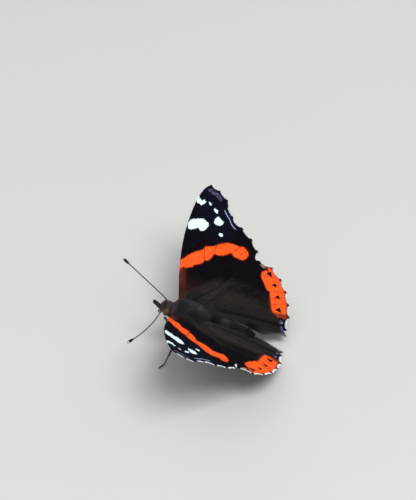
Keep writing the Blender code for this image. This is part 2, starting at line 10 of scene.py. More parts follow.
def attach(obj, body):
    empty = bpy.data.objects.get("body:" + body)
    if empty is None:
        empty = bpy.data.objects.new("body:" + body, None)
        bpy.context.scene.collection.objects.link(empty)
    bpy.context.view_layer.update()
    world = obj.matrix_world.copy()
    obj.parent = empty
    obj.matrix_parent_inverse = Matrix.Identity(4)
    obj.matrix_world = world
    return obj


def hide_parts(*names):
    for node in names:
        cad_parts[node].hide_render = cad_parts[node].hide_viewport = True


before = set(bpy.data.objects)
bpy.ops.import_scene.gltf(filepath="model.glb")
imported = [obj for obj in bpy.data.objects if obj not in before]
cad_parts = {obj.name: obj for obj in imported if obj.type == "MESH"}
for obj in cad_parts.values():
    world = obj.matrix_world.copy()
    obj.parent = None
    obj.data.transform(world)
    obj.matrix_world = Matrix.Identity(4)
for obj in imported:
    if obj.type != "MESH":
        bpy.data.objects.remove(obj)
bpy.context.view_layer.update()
print("frame loaded:", len(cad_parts), "nodes")

# Lengths are millimetres in the animal's own frame: x to its left, y towards its tail,
# z up, from the point midway between the forewing hinges.

mm = 0.001
sides = ((1, "left"), (-1, "right"))      # which way x runs, and the side's name

stance = {
    "bodyPitch": 17.2,       # degrees, nose up
    "hingeHeight": 7.6,      # forewing hinges over the floor
    "boxMiddle": 2.17,       # middle of the animal's box, along y
}


def onFloor(points):
    # from the animal's frame in millimetres to the floor's in metres
    p = np.asarray(points, float)
    pitch = math.radians(stance["bodyPitch"])
    x, y, z = p[..., 0], p[..., 1], p[..., 2]
    ahead = y * math.cos(pitch) + z * math.sin(pitch) - stance["boxMiddle"]
    height = -y * math.sin(pitch) + z * math.cos(pitch) + stance["hingeHeight"]
    return np.stack([x, ahead, height], -1) * mm


# Small tools

def smoothStep(value):
    t = np.clip(value, 0.0, 1.0)
    return t * t * (3.0 - 2.0 * t)


def mix(a, b, t):
    return a + (b - a) * t


def unit(v):
    v = np.asarray(v, float)
    return v / np.maximum(np.linalg.norm(v, axis=-1, keepdims=True), 1e-12)


def curveThrough(points, steps):
    # smooth curve through the points, with that many steps between each two
    p = np.asarray(points, float)
    p = np.vstack([2 * p[0] - p[1], p, 2 * p[-1] - p[-2]])
    t = np.linspace(0.0, 1.0, steps, endpoint=False)[:, None]
    runs = []
    for i in range(1, len(p) - 2):
        a, b, c, d = p[i - 1:i + 3]
        runs.append(0.5 * (2 * b + (c - a) * t + (2 * a - 5 * b + 4 * c - d) * t ** 2
                           + (3 * b - a - 3 * c + d) * t ** 3))
    runs.append(p[-2:-1])
    return np.vstack(runs)


def runAlong(line):
    # the length of a line up to each of its points
    return np.r_[0.0, np.cumsum(np.linalg.norm(np.diff(line, axis=0), axis=1))]


def sampled(line, run, goal):
    # places on a line, or values along it, where run reaches each goal
    return np.stack([np.interp(goal, run, line[:, k]) for k in range(line.shape[1])], 1)


def evenly(points, spacing):
    # the same line with its points about one spacing apart
    p = np.asarray(points, float)
    run = runAlong(p)
    count = max(2, int(round(run[-1] / spacing)))
    return sampled(p, run, np.linspace(0.0, run[-1], count + 1))


def closed(outline):
    return np.vstack([outline, outline[:1]])


def lineDistance(places, line):
    # how far each place is from a line of points
    start = line[:-1]
    step = np.diff(line, axis=0)
    square = (step ** 2).sum(1) + 1e-12
    best = []
    for part in np.array_split(places, max(1, len(places) // 4000)):
        offset = part[:, None, :] - start[None]
        t = np.clip((offset * step[None]).sum(2) / square, 0.0, 1.0)
        gap = offset - t[..., None] * step[None]
        best.append(np.sqrt((gap ** 2).sum(2)).min(1))
    return np.concatenate(best)


def insideOutline(places, outline):
    found = np.zeros(len(places), bool)
    loop = closed(outline)
    for (x0, y0), (x1, y1) in zip(loop[:-1], loop[1:]):
        crosses = (y0 > places[:, 1]) != (y1 > places[:, 1])
        if crosses.any():
            cut = (x1 - x0) * (places[:, 1] - y0) / (y1 - y0 + 1e-15) + x0
            found ^= crosses & (places[:, 0] < cut)
    return found


def depthIn(places, outline):
    # distance from the outline, above zero inside it
    outline = np.asarray(outline, float)
    distance = lineDistance(places, closed(outline))
    return np.where(insideOutline(places, outline), distance, -distance)


def thinned(groups, clear):
    # the points of all groups, first ones first, that keep clear of those already taken
    taken = []
    cells = {}
    cellSize = 0.5
    around = [(i, j) for i in (-1, 0, 1) for j in (-1, 0, 1)]
    for group, room in zip(groups, clear):
        for a, b in group:
            column, row = int(a // cellSize), int(b // cellSize)
            near = [q for i, j in around for q in cells.get((column + i, row + j), ())]
            if all((a - q[0]) ** 2 + (b - q[1]) ** 2 > room * room for q in near):
                taken.append((a, b))
                cells.setdefault((column, row), []).append((a, b))
    return np.array(taken)


def addPiece(name, points, faces, materials, slotOf=None, values=None, bake=None, smooth=True):
    # a mesh piece from arrays; points are in metres, faces all have the same count of corners
    faces = np.asarray(faces, np.int32)
    mesh = bpy.data.meshes.new(name)
    mesh.vertices.add(len(points))
    mesh.vertices.foreach_set("co", np.asarray(points, np.float32).ravel())
    corners = faces.shape[1]
    mesh.loops.add(faces.size)
    mesh.loops.foreach_set("vertex_index", faces.ravel())
    mesh.polygons.add(len(faces))
    mesh.polygons.foreach_set("loop_start", np.arange(0, faces.size, corners, dtype=np.int32))
    mesh.update(calc_edges=True)
    for material in materials:
        mesh.materials.append(material)
    if slotOf is not None:
        mesh.polygons.foreach_set("material_index", np.asarray(slotOf, np.int32))
    for key, value in (values or {}).items():
        value = np.asarray(value, np.float32)
        kind = "FLOAT_VECTOR" if value.ndim == 2 else "FLOAT"
        layer = mesh.attributes.new(key, kind, "POINT")
        layer.data.foreach_set("vector" if value.ndim == 2 else "value", value.ravel())
    if bake is not None:
        layer = mesh.uv_layers.new(name="OFBake")
        layer.data.foreach_set("uv", np.asarray(bake, np.float32)[faces.ravel()].ravel())
    mesh.polygons.foreach_set("use_smooth", np.full(len(faces), smooth))
    mesh.update()
    obj = bpy.data.objects.new(name, mesh)
    bpy.context.scene.collection.objects.link(obj)
    return obj


def faceOutwards(obj, merge=0.0):
    # faces turned outwards, with points nearer than merge made one
    shape = bmesh.new()
    shape.from_mesh(obj.data)
    if merge:
        bmesh.ops.remove_doubles(shape, verts=shape.verts, dist=merge)
    bmesh.ops.recalc_face_normals(shape, faces=shape.faces)
    shape.to_mesh(obj.data)
    shape.free()


def settle(obj, slotName, *nodes):
    # the piece rides on the still root and takes the place of its nodes
    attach(obj, "root")
    if nodes:
        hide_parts(*nodes)


def addSolid(name, slotName, node, points, faces, material, values=None):
    # a closed piece in millimetres that stands for one node of the frame
    piece = addPiece(name, onFloor(points), faces, [material], None, values)
    faceOutwards(piece)
    settle(piece, slotName, node)


def ringFaces(rows, columns):
    # quads of a tube of rings, closed round
    faces = []
    for r in range(rows - 1):
        for c in range(columns):
            d = (c + 1) % columns
            faces.append((r * columns + c, r * columns + d, (r + 1) * columns + d, (r + 1) * columns + c))
    return faces


def tubeAlong(path, radii, columns):
    # points and triangles of a closed round tube
    path = np.asarray(path, float)
    radii = np.asarray(radii, float)
    along = unit(np.gradient(path, axis=0))
    side = unit(np.cross(along[0], (0.13, 0.24, 1.0)))
    points = []
    turns = np.linspace(0.0, 2.0 * np.pi, columns, endpoint=False)
    for i, centre in enumerate(path):
        side = unit(side - along[i] * (side @ along[i]))
        up = np.cross(along[i], side)
        ring = centre + radii[i] * (np.cos(turns)[:, None] * side + np.sin(turns)[:, None] * up)
        points.append(ring)
    rows = len(path)
    points = np.vstack(points + [path[:1] - along[0] * radii[0] * 0.4,
                                 path[-1:] + along[-1] * radii[-1] * 0.4])
    quads = np.array(ringFaces(rows, columns))
    triangles = np.vstack([quads[:, [0, 1, 2]], quads[:, [0, 2, 3]]])
    caps = []
    for c in range(columns):
        d = (c + 1) % columns
        caps.append((rows * columns, d, c))
        caps.append((rows * columns + 1, (rows - 1) * columns + c, (rows - 1) * columns + d))
    return points, np.vstack([triangles, caps])


def alongTube(line, radii, index):
    # centre, direction and radius of a tube at places counted in points of its line
    steps = np.arange(len(line))
    tangent = unit(np.gradient(line, axis=0))
    return sampled(line, steps, index), unit(sampled(tangent, steps, index)), np.interp(index, steps, radii)


def joined(parts):
    # several (points, triangles) as one
    points = []
    triangles = []
    start = 0
    for p, t in parts:
        points.append(p)
        triangles.append(np.asarray(t) + start)
        start += len(p)
    return np.vstack(points), np.vstack(triangles)


# Shader tools and shared effects

def addNode(tree, kind, values=None, **settings):
    made = tree.nodes.new(kind)
    for key, value in settings.items():
        setattr(made, key, value)
    for key, value in (values or {}).items():
        if isinstance(value, bpy.types.NodeSocket):
            tree.links.new(value, made.inputs[key])
        else:
            made.inputs[key].default_value = value
    return made


def calc(tree, operation, a, b=0.0):
    made = addNode(tree, "ShaderNodeMath", {0: a, 1: b}, operation=operation)
    return made.outputs[0]


def blendColor(tree, factor, a, b):
    made = addNode(tree, "ShaderNodeMix", {0: factor, 6: a, 7: b}, data_type="RGBA")
    return made.outputs[2]


def rangeOf(tree, value, low, high, toLow=0.0, toHigh=1.0, kind="SMOOTHSTEP"):
    made = addNode(tree, "ShaderNodeMapRange", {0: value, 1: low, 2: high, 3: toLow, 4: toHigh},
                   interpolation_type=kind)
    return made.outputs[0]


def noiseOf(tree, place, scale, detail=2.0, roughness=0.5):
    made = addNode(tree, "ShaderNodeTexNoise", {"Vector": place, "Scale": scale, "Detail": detail,
                                                "Roughness": roughness})
    return made.outputs["Fac"]


def times(tree, value, share):
    return calc(tree, "MULTIPLY", value, share)


def valueAt(tree, name, share=1.0):
    value = addNode(tree, "ShaderNodeAttribute", attribute_name=name).outputs["Fac"]
    return value if share == 1.0 else times(tree, value, share)


def placeAt(tree, name):
    return addNode(tree, "ShaderNodeAttribute", attribute_name=name).outputs["Vector"]


def objectPlace(tree):
    return addNode(tree, "ShaderNodeTexCoord").outputs["Object"]


def stretchedPlace(tree, place, scale, turn):
    return addNode(tree, "ShaderNodeMapping", {"Vector": place, "Scale": scale,
                                               "Rotation": (0.0, 0.0, turn)}).outputs[0]


def lightened(tree, color, level):
    return addNode(tree, "ShaderNodeVectorMath", {0: color, "Scale": level}, operation="SCALE").outputs[0]


def layered(tree, color, *layers):
    # the colour with (amount, colour) layers laid over it in turn
    for amount, layer in layers:
        color = blendColor(tree, amount, color, layer)
    return color


def setColor(tree, shader, color):
    tree.links.new(color, shader.inputs["Base Color"])


def rgb(red, green, blue):
    return (red, green, blue, 1.0)


def darkened(color, share):
    return tuple(share * c for c in color[:3]) + (1.0,)


def newGroup(name, inputs, outputs):
    group = bpy.data.node_groups.new(name, "ShaderNodeTree")
    for label, kind, value in inputs:
        socket = group.interface.new_socket(name=label, in_out="INPUT", socket_type=kind)
        if value is not None:
            socket.default_value = value
    for label, kind in outputs:
        group.interface.new_socket(name=label, in_out="OUTPUT", socket_type=kind)
    return group, group.nodes.new("NodeGroupInput").outputs, group.nodes.new("NodeGroupOutput").inputs


def useGroup(tree, group, values):
    return addNode(tree, "ShaderNodeGroup", values, node_tree=group).outputs


def makeWingScales():
    # rows of small overlapping scales: a height for bump and a tone that differs from scale to scale
    group, given, result = newGroup("wingScales", [
        ("Place", "NodeSocketVector", None), ("Per Millimetre", "NodeSocketFloat", 8.0),
    ], [("Height", "NodeSocketFloat"), ("Tone", "NodeSocketFloat")])
    stretched = addNode(group, "ShaderNodeMapping", {"Vector": given["Place"], "Scale": (0.62, 1.0, 1.0)})
    cells = addNode(group, "ShaderNodeTexVoronoi",
                    {"Vector": stretched.outputs[0], "Scale": given["Per Millimetre"], "Randomness": 0.55},
                    voronoi_dimensions="2D", feature="F1")
    height = calc(group, "SUBTRACT", 1.0, cells.outputs["Distance"])
    group.links.new(height, result["Height"])
    parts = addNode(group, "ShaderNodeSeparateColor", {0: cells.outputs["Color"]})
    group.links.new(parts.outputs[0], result["Tone"])
    return group


def makeRaggedMask():
    # turns a depth inside a marking into a mask whose edge is broken up scale by scale
    group, given, result = newGroup("raggedMask", [
        ("Depth", "NodeSocketFloat", 0.0), ("Place", "NodeSocketVector", None),
        ("Break", "NodeSocketFloat", 0.16), ("Softness", "NodeSocketFloat", 0.05),
    ], [("Mask", "NodeSocketFloat")])
    fine = noiseOf(group, given["Place"], 7.0, 3.0, 0.65)
    shift = calc(group, "MULTIPLY", calc(group, "SUBTRACT", fine, 0.5), given["Break"])
    depth = calc(group, "ADD", given["Depth"], calc(group, "MULTIPLY", shift, 2.0))
    low = calc(group, "MULTIPLY", given["Softness"], -1.0)
    group.links.new(rangeOf(group, depth, low, given["Softness"]), result["Mask"])
    return group


def makeCoatTone():
    # colour of a hair: dark at its root, lighter to its tip, and a little different from hair to hair
    group, given, result = newGroup("coatTone", [
        ("Tone", "NodeSocketFloat", 0.5), ("Along", "NodeSocketFloat", 0.5),
        ("Root", "NodeSocketColor", rgb(0.02, 0.018, 0.016)),
        ("Tip", "NodeSocketColor", rgb(0.06, 0.055, 0.05)),
        ("Spread", "NodeSocketFloat", 0.5),
    ], [("Color", "NodeSocketColor")])
    grown = blendColor(group, rangeOf(group, given["Along"], 0.0, 0.9), given["Root"], given["Tip"])
    swing = calc(group, "MULTIPLY", calc(group, "SUBTRACT", given["Tone"], 0.5), given["Spread"])
    level = calc(group, "ADD", calc(group, "MULTIPLY", swing, 2.0), 1.0)
    group.links.new(lightened(group, grown, level), result["Color"])
    return group


wingScales = makeWingScales()
raggedMask = makeRaggedMask()
coatTone = makeCoatTone()


def newMaterial(name, roughness, specular):
    material = bpy.data.materials.new(name)
    material.use_nodes = True
    tree = material.node_tree
    shader = tree.nodes["Principled BSDF"]
    shader.inputs["Roughness"].default_value = roughness
    shader.inputs["Specular IOR Level"].default_value = specular
    return material, tree, shader


def setBump(tree, shader, height, strength, depth):
    bump = addNode(tree, "ShaderNodeBump", {"Height": height, "Strength": strength, "Distance": depth * mm})
    tree.links.new(bump.outputs[0], shader.inputs["Normal"])


def masked(tree, name, place, softness=0.05, broken=0.16, grow=0.0):
    # 1 inside a marking whose depth is stored under this name, grown by that much
    depth = valueAt(tree, name)
    if grow:
        depth = calc(tree, "ADD", depth, grow)
    return useGroup(tree, raggedMask, {"Depth": depth, "Place": place, "Break": broken,
                                       "Softness": softness})["Mask"]


# Camera, lights and floor

view = {
    "distance": 800.0,                       # from the hinges, along the view
    "right": (-0.1152, 0.9488, 0.2940),      # the picture's right, in the animal's frame
    "up": (-0.5536, -0.3071, 0.7741),
    "back": (0.8248, -0.0736, 0.5606),
    "aim": (3.285, 12.62),                   # right and up from the hinges, where the camera points
    "lens": 289.3,
}


def makeCamera():
    turn = onFloor(np.eye(3)) - onFloor(np.zeros(3))
    right, up, back = [unit(np.asarray(view[key]) @ turn) for key in ("right", "up", "back")]
    start = onFloor((0.0, 0.0, 0.0))
    place = start + mm * view["distance"] * back
    target = start + mm * (right * view["aim"][0] + up * view["aim"][1])
    back = unit(place - target)
    right = unit(right - back * (right @ back))
    axes = (right, np.cross(back, right), back)
    data = bpy.data.cameras.new("photoCamera")
    data.lens = view["lens"]
    data.sensor_width = 36.0
    data.clip_start = 0.01
    data.clip_end = 20.0
    camera = bpy.data.objects.new("photoCamera", data)
    bpy.context.scene.collection.objects.link(camera)
    rows = [[*(float(axis[k]) for axis in axes), float(place[k])] for k in range(3)]
    camera.matrix_world = Matrix([*rows, [0.0, 0.0, 0.0, 1.0]])
    bpy.context.scene.camera = camera


makeCamera()

studio = {
    "floorSize": 1.6,                        # metres
    "floorColor": rgb(0.56, 0.54, 0.51),
    "sky": rgb(0.86, 0.93, 1.0),
    "skyStrength": 0.62,
    "keyPower": 9.0,
    "keySize": 0.55,
    "keyPlace": (0.42, 0.30, 0.85),
    "fillPower": 2.2,
    "fillSize": 0.8,
    "fillPlace": (-0.7, -0.5, 0.5),
}


def aimed(obj, target):
    obj.rotation_euler = (Vector(target) - obj.location).to_track_quat("-Z", "Y").to_euler()


def makeStudio():
    half = studio["floorSize"] / 2.0
    corners = [(-half, -half, 0.0), (half, -half, 0.0), (half, half, 0.0), (-half, half, 0.0)]
    material, tree, shader = newMaterial("paleFloor", 0.85, 0.2)
    cloud = noiseOf(tree, objectPlace(tree), 9.0, 3.0)
    floorColor = studio["floorColor"]
    setColor(tree, shader, blendColor(tree, cloud, darkened(floorColor, 0.95), floorColor))
    floor = addPiece("floor", corners, [(0, 1, 2, 3)], [material], smooth=False)
    world = bpy.data.worlds.new("studioSky")
    world.use_nodes = True
    world.node_tree.nodes["Background"].inputs[0].default_value = studio["sky"]
    world.node_tree.nodes["Background"].inputs[1].default_value = studio["skyStrength"]
    bpy.context.scene.world = world
    for kind in ("key", "fill"):
        light = bpy.data.lights.new(kind + "Light", "AREA")
        light.energy = studio[kind + "Power"]
        light.size = studio[kind + "Size"]
        lamp = bpy.data.objects.new(kind + "Light", light)
        lamp.location = studio[kind + "Place"]
        bpy.context.scene.collection.objects.link(lamp)
        aimed(lamp, (0.0, 0.0, 0.005))


makeStudio()
bpy.context.scene.view_settings.view_transform = "Standard"
print("camera, lights and floor made")

# Wings: a runs outwards from the hinge and b runs forwards, before the sweep

wing = {
    "hingeOffset": 2.0,
    "forewingHingeZ": 0.69,
    "hindwingHingeY": 2.2,
    "hindwingHingeZ": 0.39,
    "dihedral": 17.05,
    "twist": 3.1,
    "sweep": 25.5,
    "thickness": 0.10,
    "lift": 0.13,            # forewing raised where it lies over the hindwing
    "drop": 0.13,            # hindwing lowered where it lies under the forewing
    "veinHeight": 0.075,
    "veinHalfWidth": 0.15,
    "sag": 0.10,             # membrane between the veins hangs a little lower
    "fringe": 0.34,          # width of the fringe, which ends at the wing's outline
    "netStep": 0.28,
    "fineStep": 0.12,        # net inside small markings
}


def wingAxes(side):
    # outward, forward and upward directions of a wing
    rise = math.radians(wing["dihedral"])
    twist = math.radians(wing["twist"])
    outward = np.array([side * math.cos(rise), 0.0, math.sin(rise)])
    flat = np.array([-side * math.sin(rise), 0.0, math.cos(rise)])
    forward = np.array([0.0, -math.cos(twist), 0.0]) + flat * math.sin(twist)
    normal = unit(np.cross(forward, outward))
    return outward, forward, normal if normal[2] > 0 else -normal


def onWing(kind, side, places, height):
    # places (a, b) on a wing at a height over its plane, in the animal's frame
    outward, forward, normal = wingAxes(side)
    isFore = kind == "forewing"
    sweep = math.radians(wing["sweep"]) if isFore else 0.0
    hinge = np.array([side * wing["hingeOffset"], 0.0, wing["forewingHingeZ"]])
    if not isFore:
        hinge = np.array([side * wing["hingeOffset"], wing["hindwingHingeY"], wing["hindwingHingeZ"]])
    a, b = places[:, 0], places[:, 1]
    reach = a * math.cos(sweep) + b * math.sin(sweep)
    ahead = -a * math.sin(sweep) + b * math.cos(sweep)
    height = np.asarray(height)[:, None]
    return hinge + reach[:, None] * outward + ahead[:, None] * forward + height * normal


def forewingHeight(places):
    p, q = places[:, 0] / 20.0, places[:, 1] / 20.0
    camber = -0.64 * p * p + 1.40 * p * q + 1.46 * q * q
    return camber + wing["lift"] * smoothStep((12.0 - 0.15 * places[:, 0] - places[:, 1]) / 7.0)


def hindwingHeight(places):
    p, q = places[:, 0] / 20.0, places[:, 1] / 20.0
    camber = 0.12 * p - 1.31 * q - 0.25 * p * p + 2.61 * p * q - 1.36 * q * q
    return camber - wing["drop"] * covered(places)


def covered(places):
    # 1 where the forewing lies over the hindwing, 0 behind its edge
    return smoothStep((places[:, 1] - (2.2 - 0.6 * places[:, 0]) + 3.2) / 3.0)


forewing = {
    "costa": ((-2.1, 2.35), (-1.25, 3.05), (0.0, 4.0), (4.2, 7.1), (9.6, 10.55), (14.6, 13.1),
              (20.3, 15.25), (24.0, 15.95), (26.2, 15.65)),
    "ends": ((26.2, 15.65, 0.12), (26.85, 13.7, 0.08), (26.6, 11.1, 0.36), (24.4, 8.0, 0.50),
             (24.0, 4.9, 0.34), (23.45, 1.8, 0.26), (22.0, -1.0, 0.16), (19.6, -2.0, 0.0)),
    "inner": ((19.6, -2.0), (15.3, -1.2), (11.6, -1.05), (8.2, -0.7), (4.5, 0.0), (0.55, 1.05),
              (-0.9, 1.2)),
    "veins": {
        "subcosta": ((-0.9, 2.75), (5.0, 6.6), (10.0, 9.6), (14.6, 12.8)),
        "radius1": ((10.3, 8.1), (14.0, 10.9), (18.6, 14.2)),
        "radius2": ((12.6, 9.0), (16.6, 11.9), (21.2, 15.1)),
        "radius3": ((17.6, 11.9), (20.6, 13.8), (24.2, 15.6)),
        "radius4": ((-0.7, 2.5), (5.5, 5.6), (10.3, 8.1), (13.4, 9.4), (17.6, 11.9), (22.0, 13.9),
                    (26.0, 15.4)),
        "radius5": ((18.6, 12.4), (22.6, 13.2), (26.6, 13.6)),
        "media1": ((13.4, 9.4), (13.7, 8.4), (19.5, 10.1), (26.3, 11.1)),
        "media2": ((13.7, 8.4), (13.0, 7.1), (18.5, 8.0), (24.1, 7.9)),
        "media3": ((10.4, 5.2), (13.0, 5.5), (18.0, 5.6), (23.7, 4.9)),
        "cellEnd": ((13.0, 7.1), (10.4, 5.2)),
        "cubitus1": ((-0.4, 2.1), (4.5, 3.2), (10.4, 5.2)),
        "cubitus2": ((8.9, 4.6), (13.5, 3.3), (18.5, 2.5), (23.1, 1.8)),
        "cubitus3": ((5.2, 3.4), (10.5, 1.9), (16.5, 0.3), (21.7, -0.9)),
        "anal": ((0.2, 1.6), (6.5, 0.5), (13.0, -0.1), (19.4, -1.6)),
    },
    "dashes": ((0.05, 0.92), (0.15, 0.88), (0.48, 0.97), (0.12, 0.93), (0.12, 0.86), (0.10, 0.86),
               (0.2, 0.9)),
    "band": (
        (3.9, 6.9), (5.5, 7.1), (5.7, 6.6), (7.1, 5.8), (7.8, 5.9), (8.8, 5.3), (9.6, 5.0), (10.4, 5.1),
        (11.0, 4.6), (12.4, 4.6), (13.5, 4.8), (13.7, 4.2), (14.5, 3.4), (15.3, 3.0), (16.6, 2.6),
        (16.4, 1.9), (16.7, 0.9), (17.1, -0.1), (18.2, -0.3), (19.3, -0.2), (20.1, 0.5), (20.3, 1.8),
        (19.5, 2.5), (19.0, 3.7), (18.1, 4.8), (16.4, 5.6), (15.0, 6.1), (13.3, 7.25), (12.3, 7.1),
        (11.0, 7.7), (8.8, 8.3), (7.5, 8.35), (6.4, 8.7), (5.2, 8.0),
    ),
    "crossLines": (
        ((13.4, 7.4), (12.9, 7.0), (10.2, 5.0)), ((15.9, 5.8), (12.9, 5.2)), ((20.3, 2.3), (17.0, 2.5)),
        ((20.5, 0.7), (17.0, 1.4)),
    ),
    "whites": (
        ((14.9, 13.2), (15.9, 13.25), (16.5, 12.9), (16.6, 12.6), (17.1, 12.5), (17.8, 12.0),
         (18.35, 11.6), (18.4, 11.0), (18.4, 10.4), (18.2, 9.95), (17.5, 9.75), (16.5, 9.65),
         (15.7, 9.95), (15.4, 10.4), (15.5, 11.05), (14.8, 11.2), (14.2, 11.5), (13.65, 12.1),
         (14.0, 12.75)),
        ((21.6, 9.9), (21.5, 9.2), (21.55, 8.5), (20.85, 8.1), (20.1, 8.25), (19.6, 8.8), (19.4, 9.5),
         (20.1, 9.95), (20.9, 10.05)),
        ((22.1, 15.9), (21.3, 15.2), (21.5, 14.8), (21.4, 14.35), (22.05, 14.4), (21.75, 13.95),
         (22.1, 13.7), (21.3, 13.65), (20.4, 13.9), (20.2, 14.4), (20.1, 15.2), (21.0, 15.7)),
        ((22.45, 13.35), (22.65, 12.9), (22.45, 12.45), (22.05, 12.55), (22.05, 13.0)),
        ((22.65, 11.6), (22.55, 10.9), (22.0, 10.5), (21.7, 10.6), (21.65, 11.2), (22.1, 11.7)),
    ),
    "roundSpot": ((18.45, 6.83), 0.47),
    "violetLine": ((23.9, 10.0), (23.5, 9.1), (23.1, 8.1), (22.6, 7.2), (22.3, 6.2), (22.3, 5.7)),
    "violetCloud": ((24.8, 14.9), (25.1, 14.1), (25.35, 13.4), (25.3, 12.4)),
}

hindwing = {
    "costa": ((-1.3, 1.2), (-0.3, 2.1), (1.6, 3.2), (4.0, 3.4), (8.0, 2.3), (12.0, -0.2), (15.4, -3.6),
              (17.7, -8.7)),
    "ends": ((17.7, -8.7, 0.30), (17.5, -11.7, 0.32), (15.3, -14.2, 0.32), (12.5, -15.85, 0.32),
             (9.3, -16.95, 0.32), (6.1, -17.55, 0.42), (2.3, -17.5, 0.12), (1.1, -17.1, 0.0)),
    "inner": ((1.1, -17.1), (1.0, -15.9), (0.7, -14.8), (0.2, -13.5), (-0.45, -12.1), (-0.6, -10.3),
              (-0.35, -8.0), (-0.2, -5.5), (-0.35, -3.2), (-0.9, -1.5), (-1.3, 0.0)),
    "veins": {
        "humeral": ((0.3, 1.4), (1.8, 2.9)),
        "subcosta": ((-0.5, 1.2), (5.0, 1.8), (10.0, 0.0), (15.2, -3.9)),
        "radius": ((-0.5, 0.5), (5.0, -1.2), (11.0, -4.4), (17.4, -8.8)),
        "media1": ((7.2, -2.4), (8.2, -4.0), (12.5, -7.7), (17.2, -11.6)),
        "media2": ((8.2, -4.0), (8.4, -5.4), (11.8, -10.0), (15.0, -13.9)),
        "media3": ((6.3, -5.4), (7.4, -7.0), (10.2, -11.6), (12.3, -15.5)),
        "cellEnd": ((8.4, -5.4), (7.4, -7.0)),
        "cubitus1": ((-0.5, 0.0), (3.0, -2.2), (6.3, -5.4)),
        "cubitus2": ((6.3, -5.4), (6.6, -8.0), (7.6, -12.6), (9.2, -16.6)),
        "cubitus3": ((3.4, -2.6), (4.6, -7.0), (5.5, -12.0), (6.0, -17.2)),
        "anal": ((-0.4, -0.6), (1.7, -6.0), (2.3, -12.0), (2.4, -17.1)),
    },
    "dashes": ((0.06, 0.90), (0.10, 0.90), (0.10, 0.90), (0.10, 0.90), (0.10, 0.90), (0.12, 0.90),
               (0.3, 0.7)),
    "band": (
        (16.95, -10.75), (16.55, -10.45), (16.1, -10.75), (14.9, -9.6), (13.6, -9.7), (12.2, -10.6),
        (10.8, -11.5), (10.4, -12.2), (8.7, -12.6), (6.9, -13.1), (5.6, -13.5), (4.8, -15.0),
        (4.9, -16.5), (5.6, -16.9), (7.0, -16.6), (9.2, -16.3), (10.6, -15.9), (12.0, -15.4),
        (13.5, -14.6), (14.9, -13.7), (16.5, -12.5), (16.85, -11.3),
    ),
    "roseCorner": ((17.15, -9.3), (16.75, -8.9), (16.1, -9.9), (16.2, -10.6), (16.9, -10.6), (17.1, -10.0)),
    "darts": (((15.3, -11.35), 0.74), ((12.9, -12.9), 0.60), ((10.15, -14.05), 0.60),
              ((6.85, -14.8), 0.74)),
    "frontLines": (((15.3, -11.1), (16.1, -10.75), (16.5, -10.35), (16.1, -9.8)),
                   ((16.3, -10.2), (17.2, -11.2))),
    "crossLines": (
        ((12.0, -10.9), (13.6, -14.1)), ((10.6, -12.1), (12.3, -15.5)), ((7.4, -13.0), (9.7, -16.7)),
        ((5.3, -13.5), (5.9, -17.1)), ((14.2, -10.0), (15.2, -13.6)), ((9.0, -12.7), (11.0, -15.8)),
    ),
    "blueSpots": (((3.75, -15.45), (3.95, -15.8), 0.44), ((2.5, -16.1), (1.75, -16.35), 0.34)),
    "anglePatch": ((4.1, -14.6), (5.2, -15.6), (4.9, -17.0), (3.4, -17.3), (1.0, -17.2), (0.8, -15.6),
                   (2.4, -15.0)),
}

wings = {"forewing": (forewing, forewingHeight), "hindwing": (hindwing, hindwingHeight)}


def scallopedEdge(ends, steps):
    # edge through the vein ends, dipping inwards between them, with which dip and how far along it
    points = []
    inward = []
    along = []
    for index, ((a0, b0, dip), (a1, b1, _)) in enumerate(zip(ends, ends[1:])):
        length = math.hypot(a1 - a0, b1 - b0)
        lean = np.array([(b1 - b0) / length, -(a1 - a0) / length])
        for i in range(steps):
            t = i / steps
            spot = np.array([mix(a0, a1, t), mix(b0, b1, t)]) + lean * dip * math.sin(math.pi * t)
            points.append(spot)
            inward.append(lean)
            along.append(index + t)
    points.append(np.array(ends[-1][:2]))
    inward.append(inward[-1])
    along.append(float(len(ends) - 1))
    return np.array(points), np.array(inward), np.array(along)


def wingOutline(shape):
    # the membrane's edge: the wing's outline less the fringe on its outer side
    edge, inward, along = scallopedEdge(shape["ends"], 14)
    count = len(shape["ends"]) - 1
    ease = np.minimum(np.clip(along / 0.25, 0, 1), np.clip((count - along) / 0.4, 0, 1))
    membrane = edge + inward * (wing["fringe"] * ease)[:, None]
    costa = curveThrough(shape["costa"], 12)[:-1]
    inner = curveThrough(shape["inner"], 8)[1:]
    return np.vstack([costa, membrane, inner]), membrane, along


def dart(centre, size):
    # a small blunt triangle that points forwards
    ahead = np.array([-0.37, 0.93])
    across = np.array([-ahead[1], ahead[0]])
    corners = ((1.0, 0.1), (0.2, 0.5), (-0.6, 0.95), (-0.72, 0.1), (-0.7, -0.8), (0.1, -0.6))
    return np.array([np.asarray(centre) + size * (p * ahead + q * across) for p, q in corners])


def fillIn(low, high, step):
    # places of a triangular lattice between two corners
    rows = np.arange(low[1], high[1], step * 0.866)
    return [(a + (0.5 * step if i % 2 else 0.0), b) for i, b in enumerate(rows)
            for a in np.arange(low[0], high[0], step)]


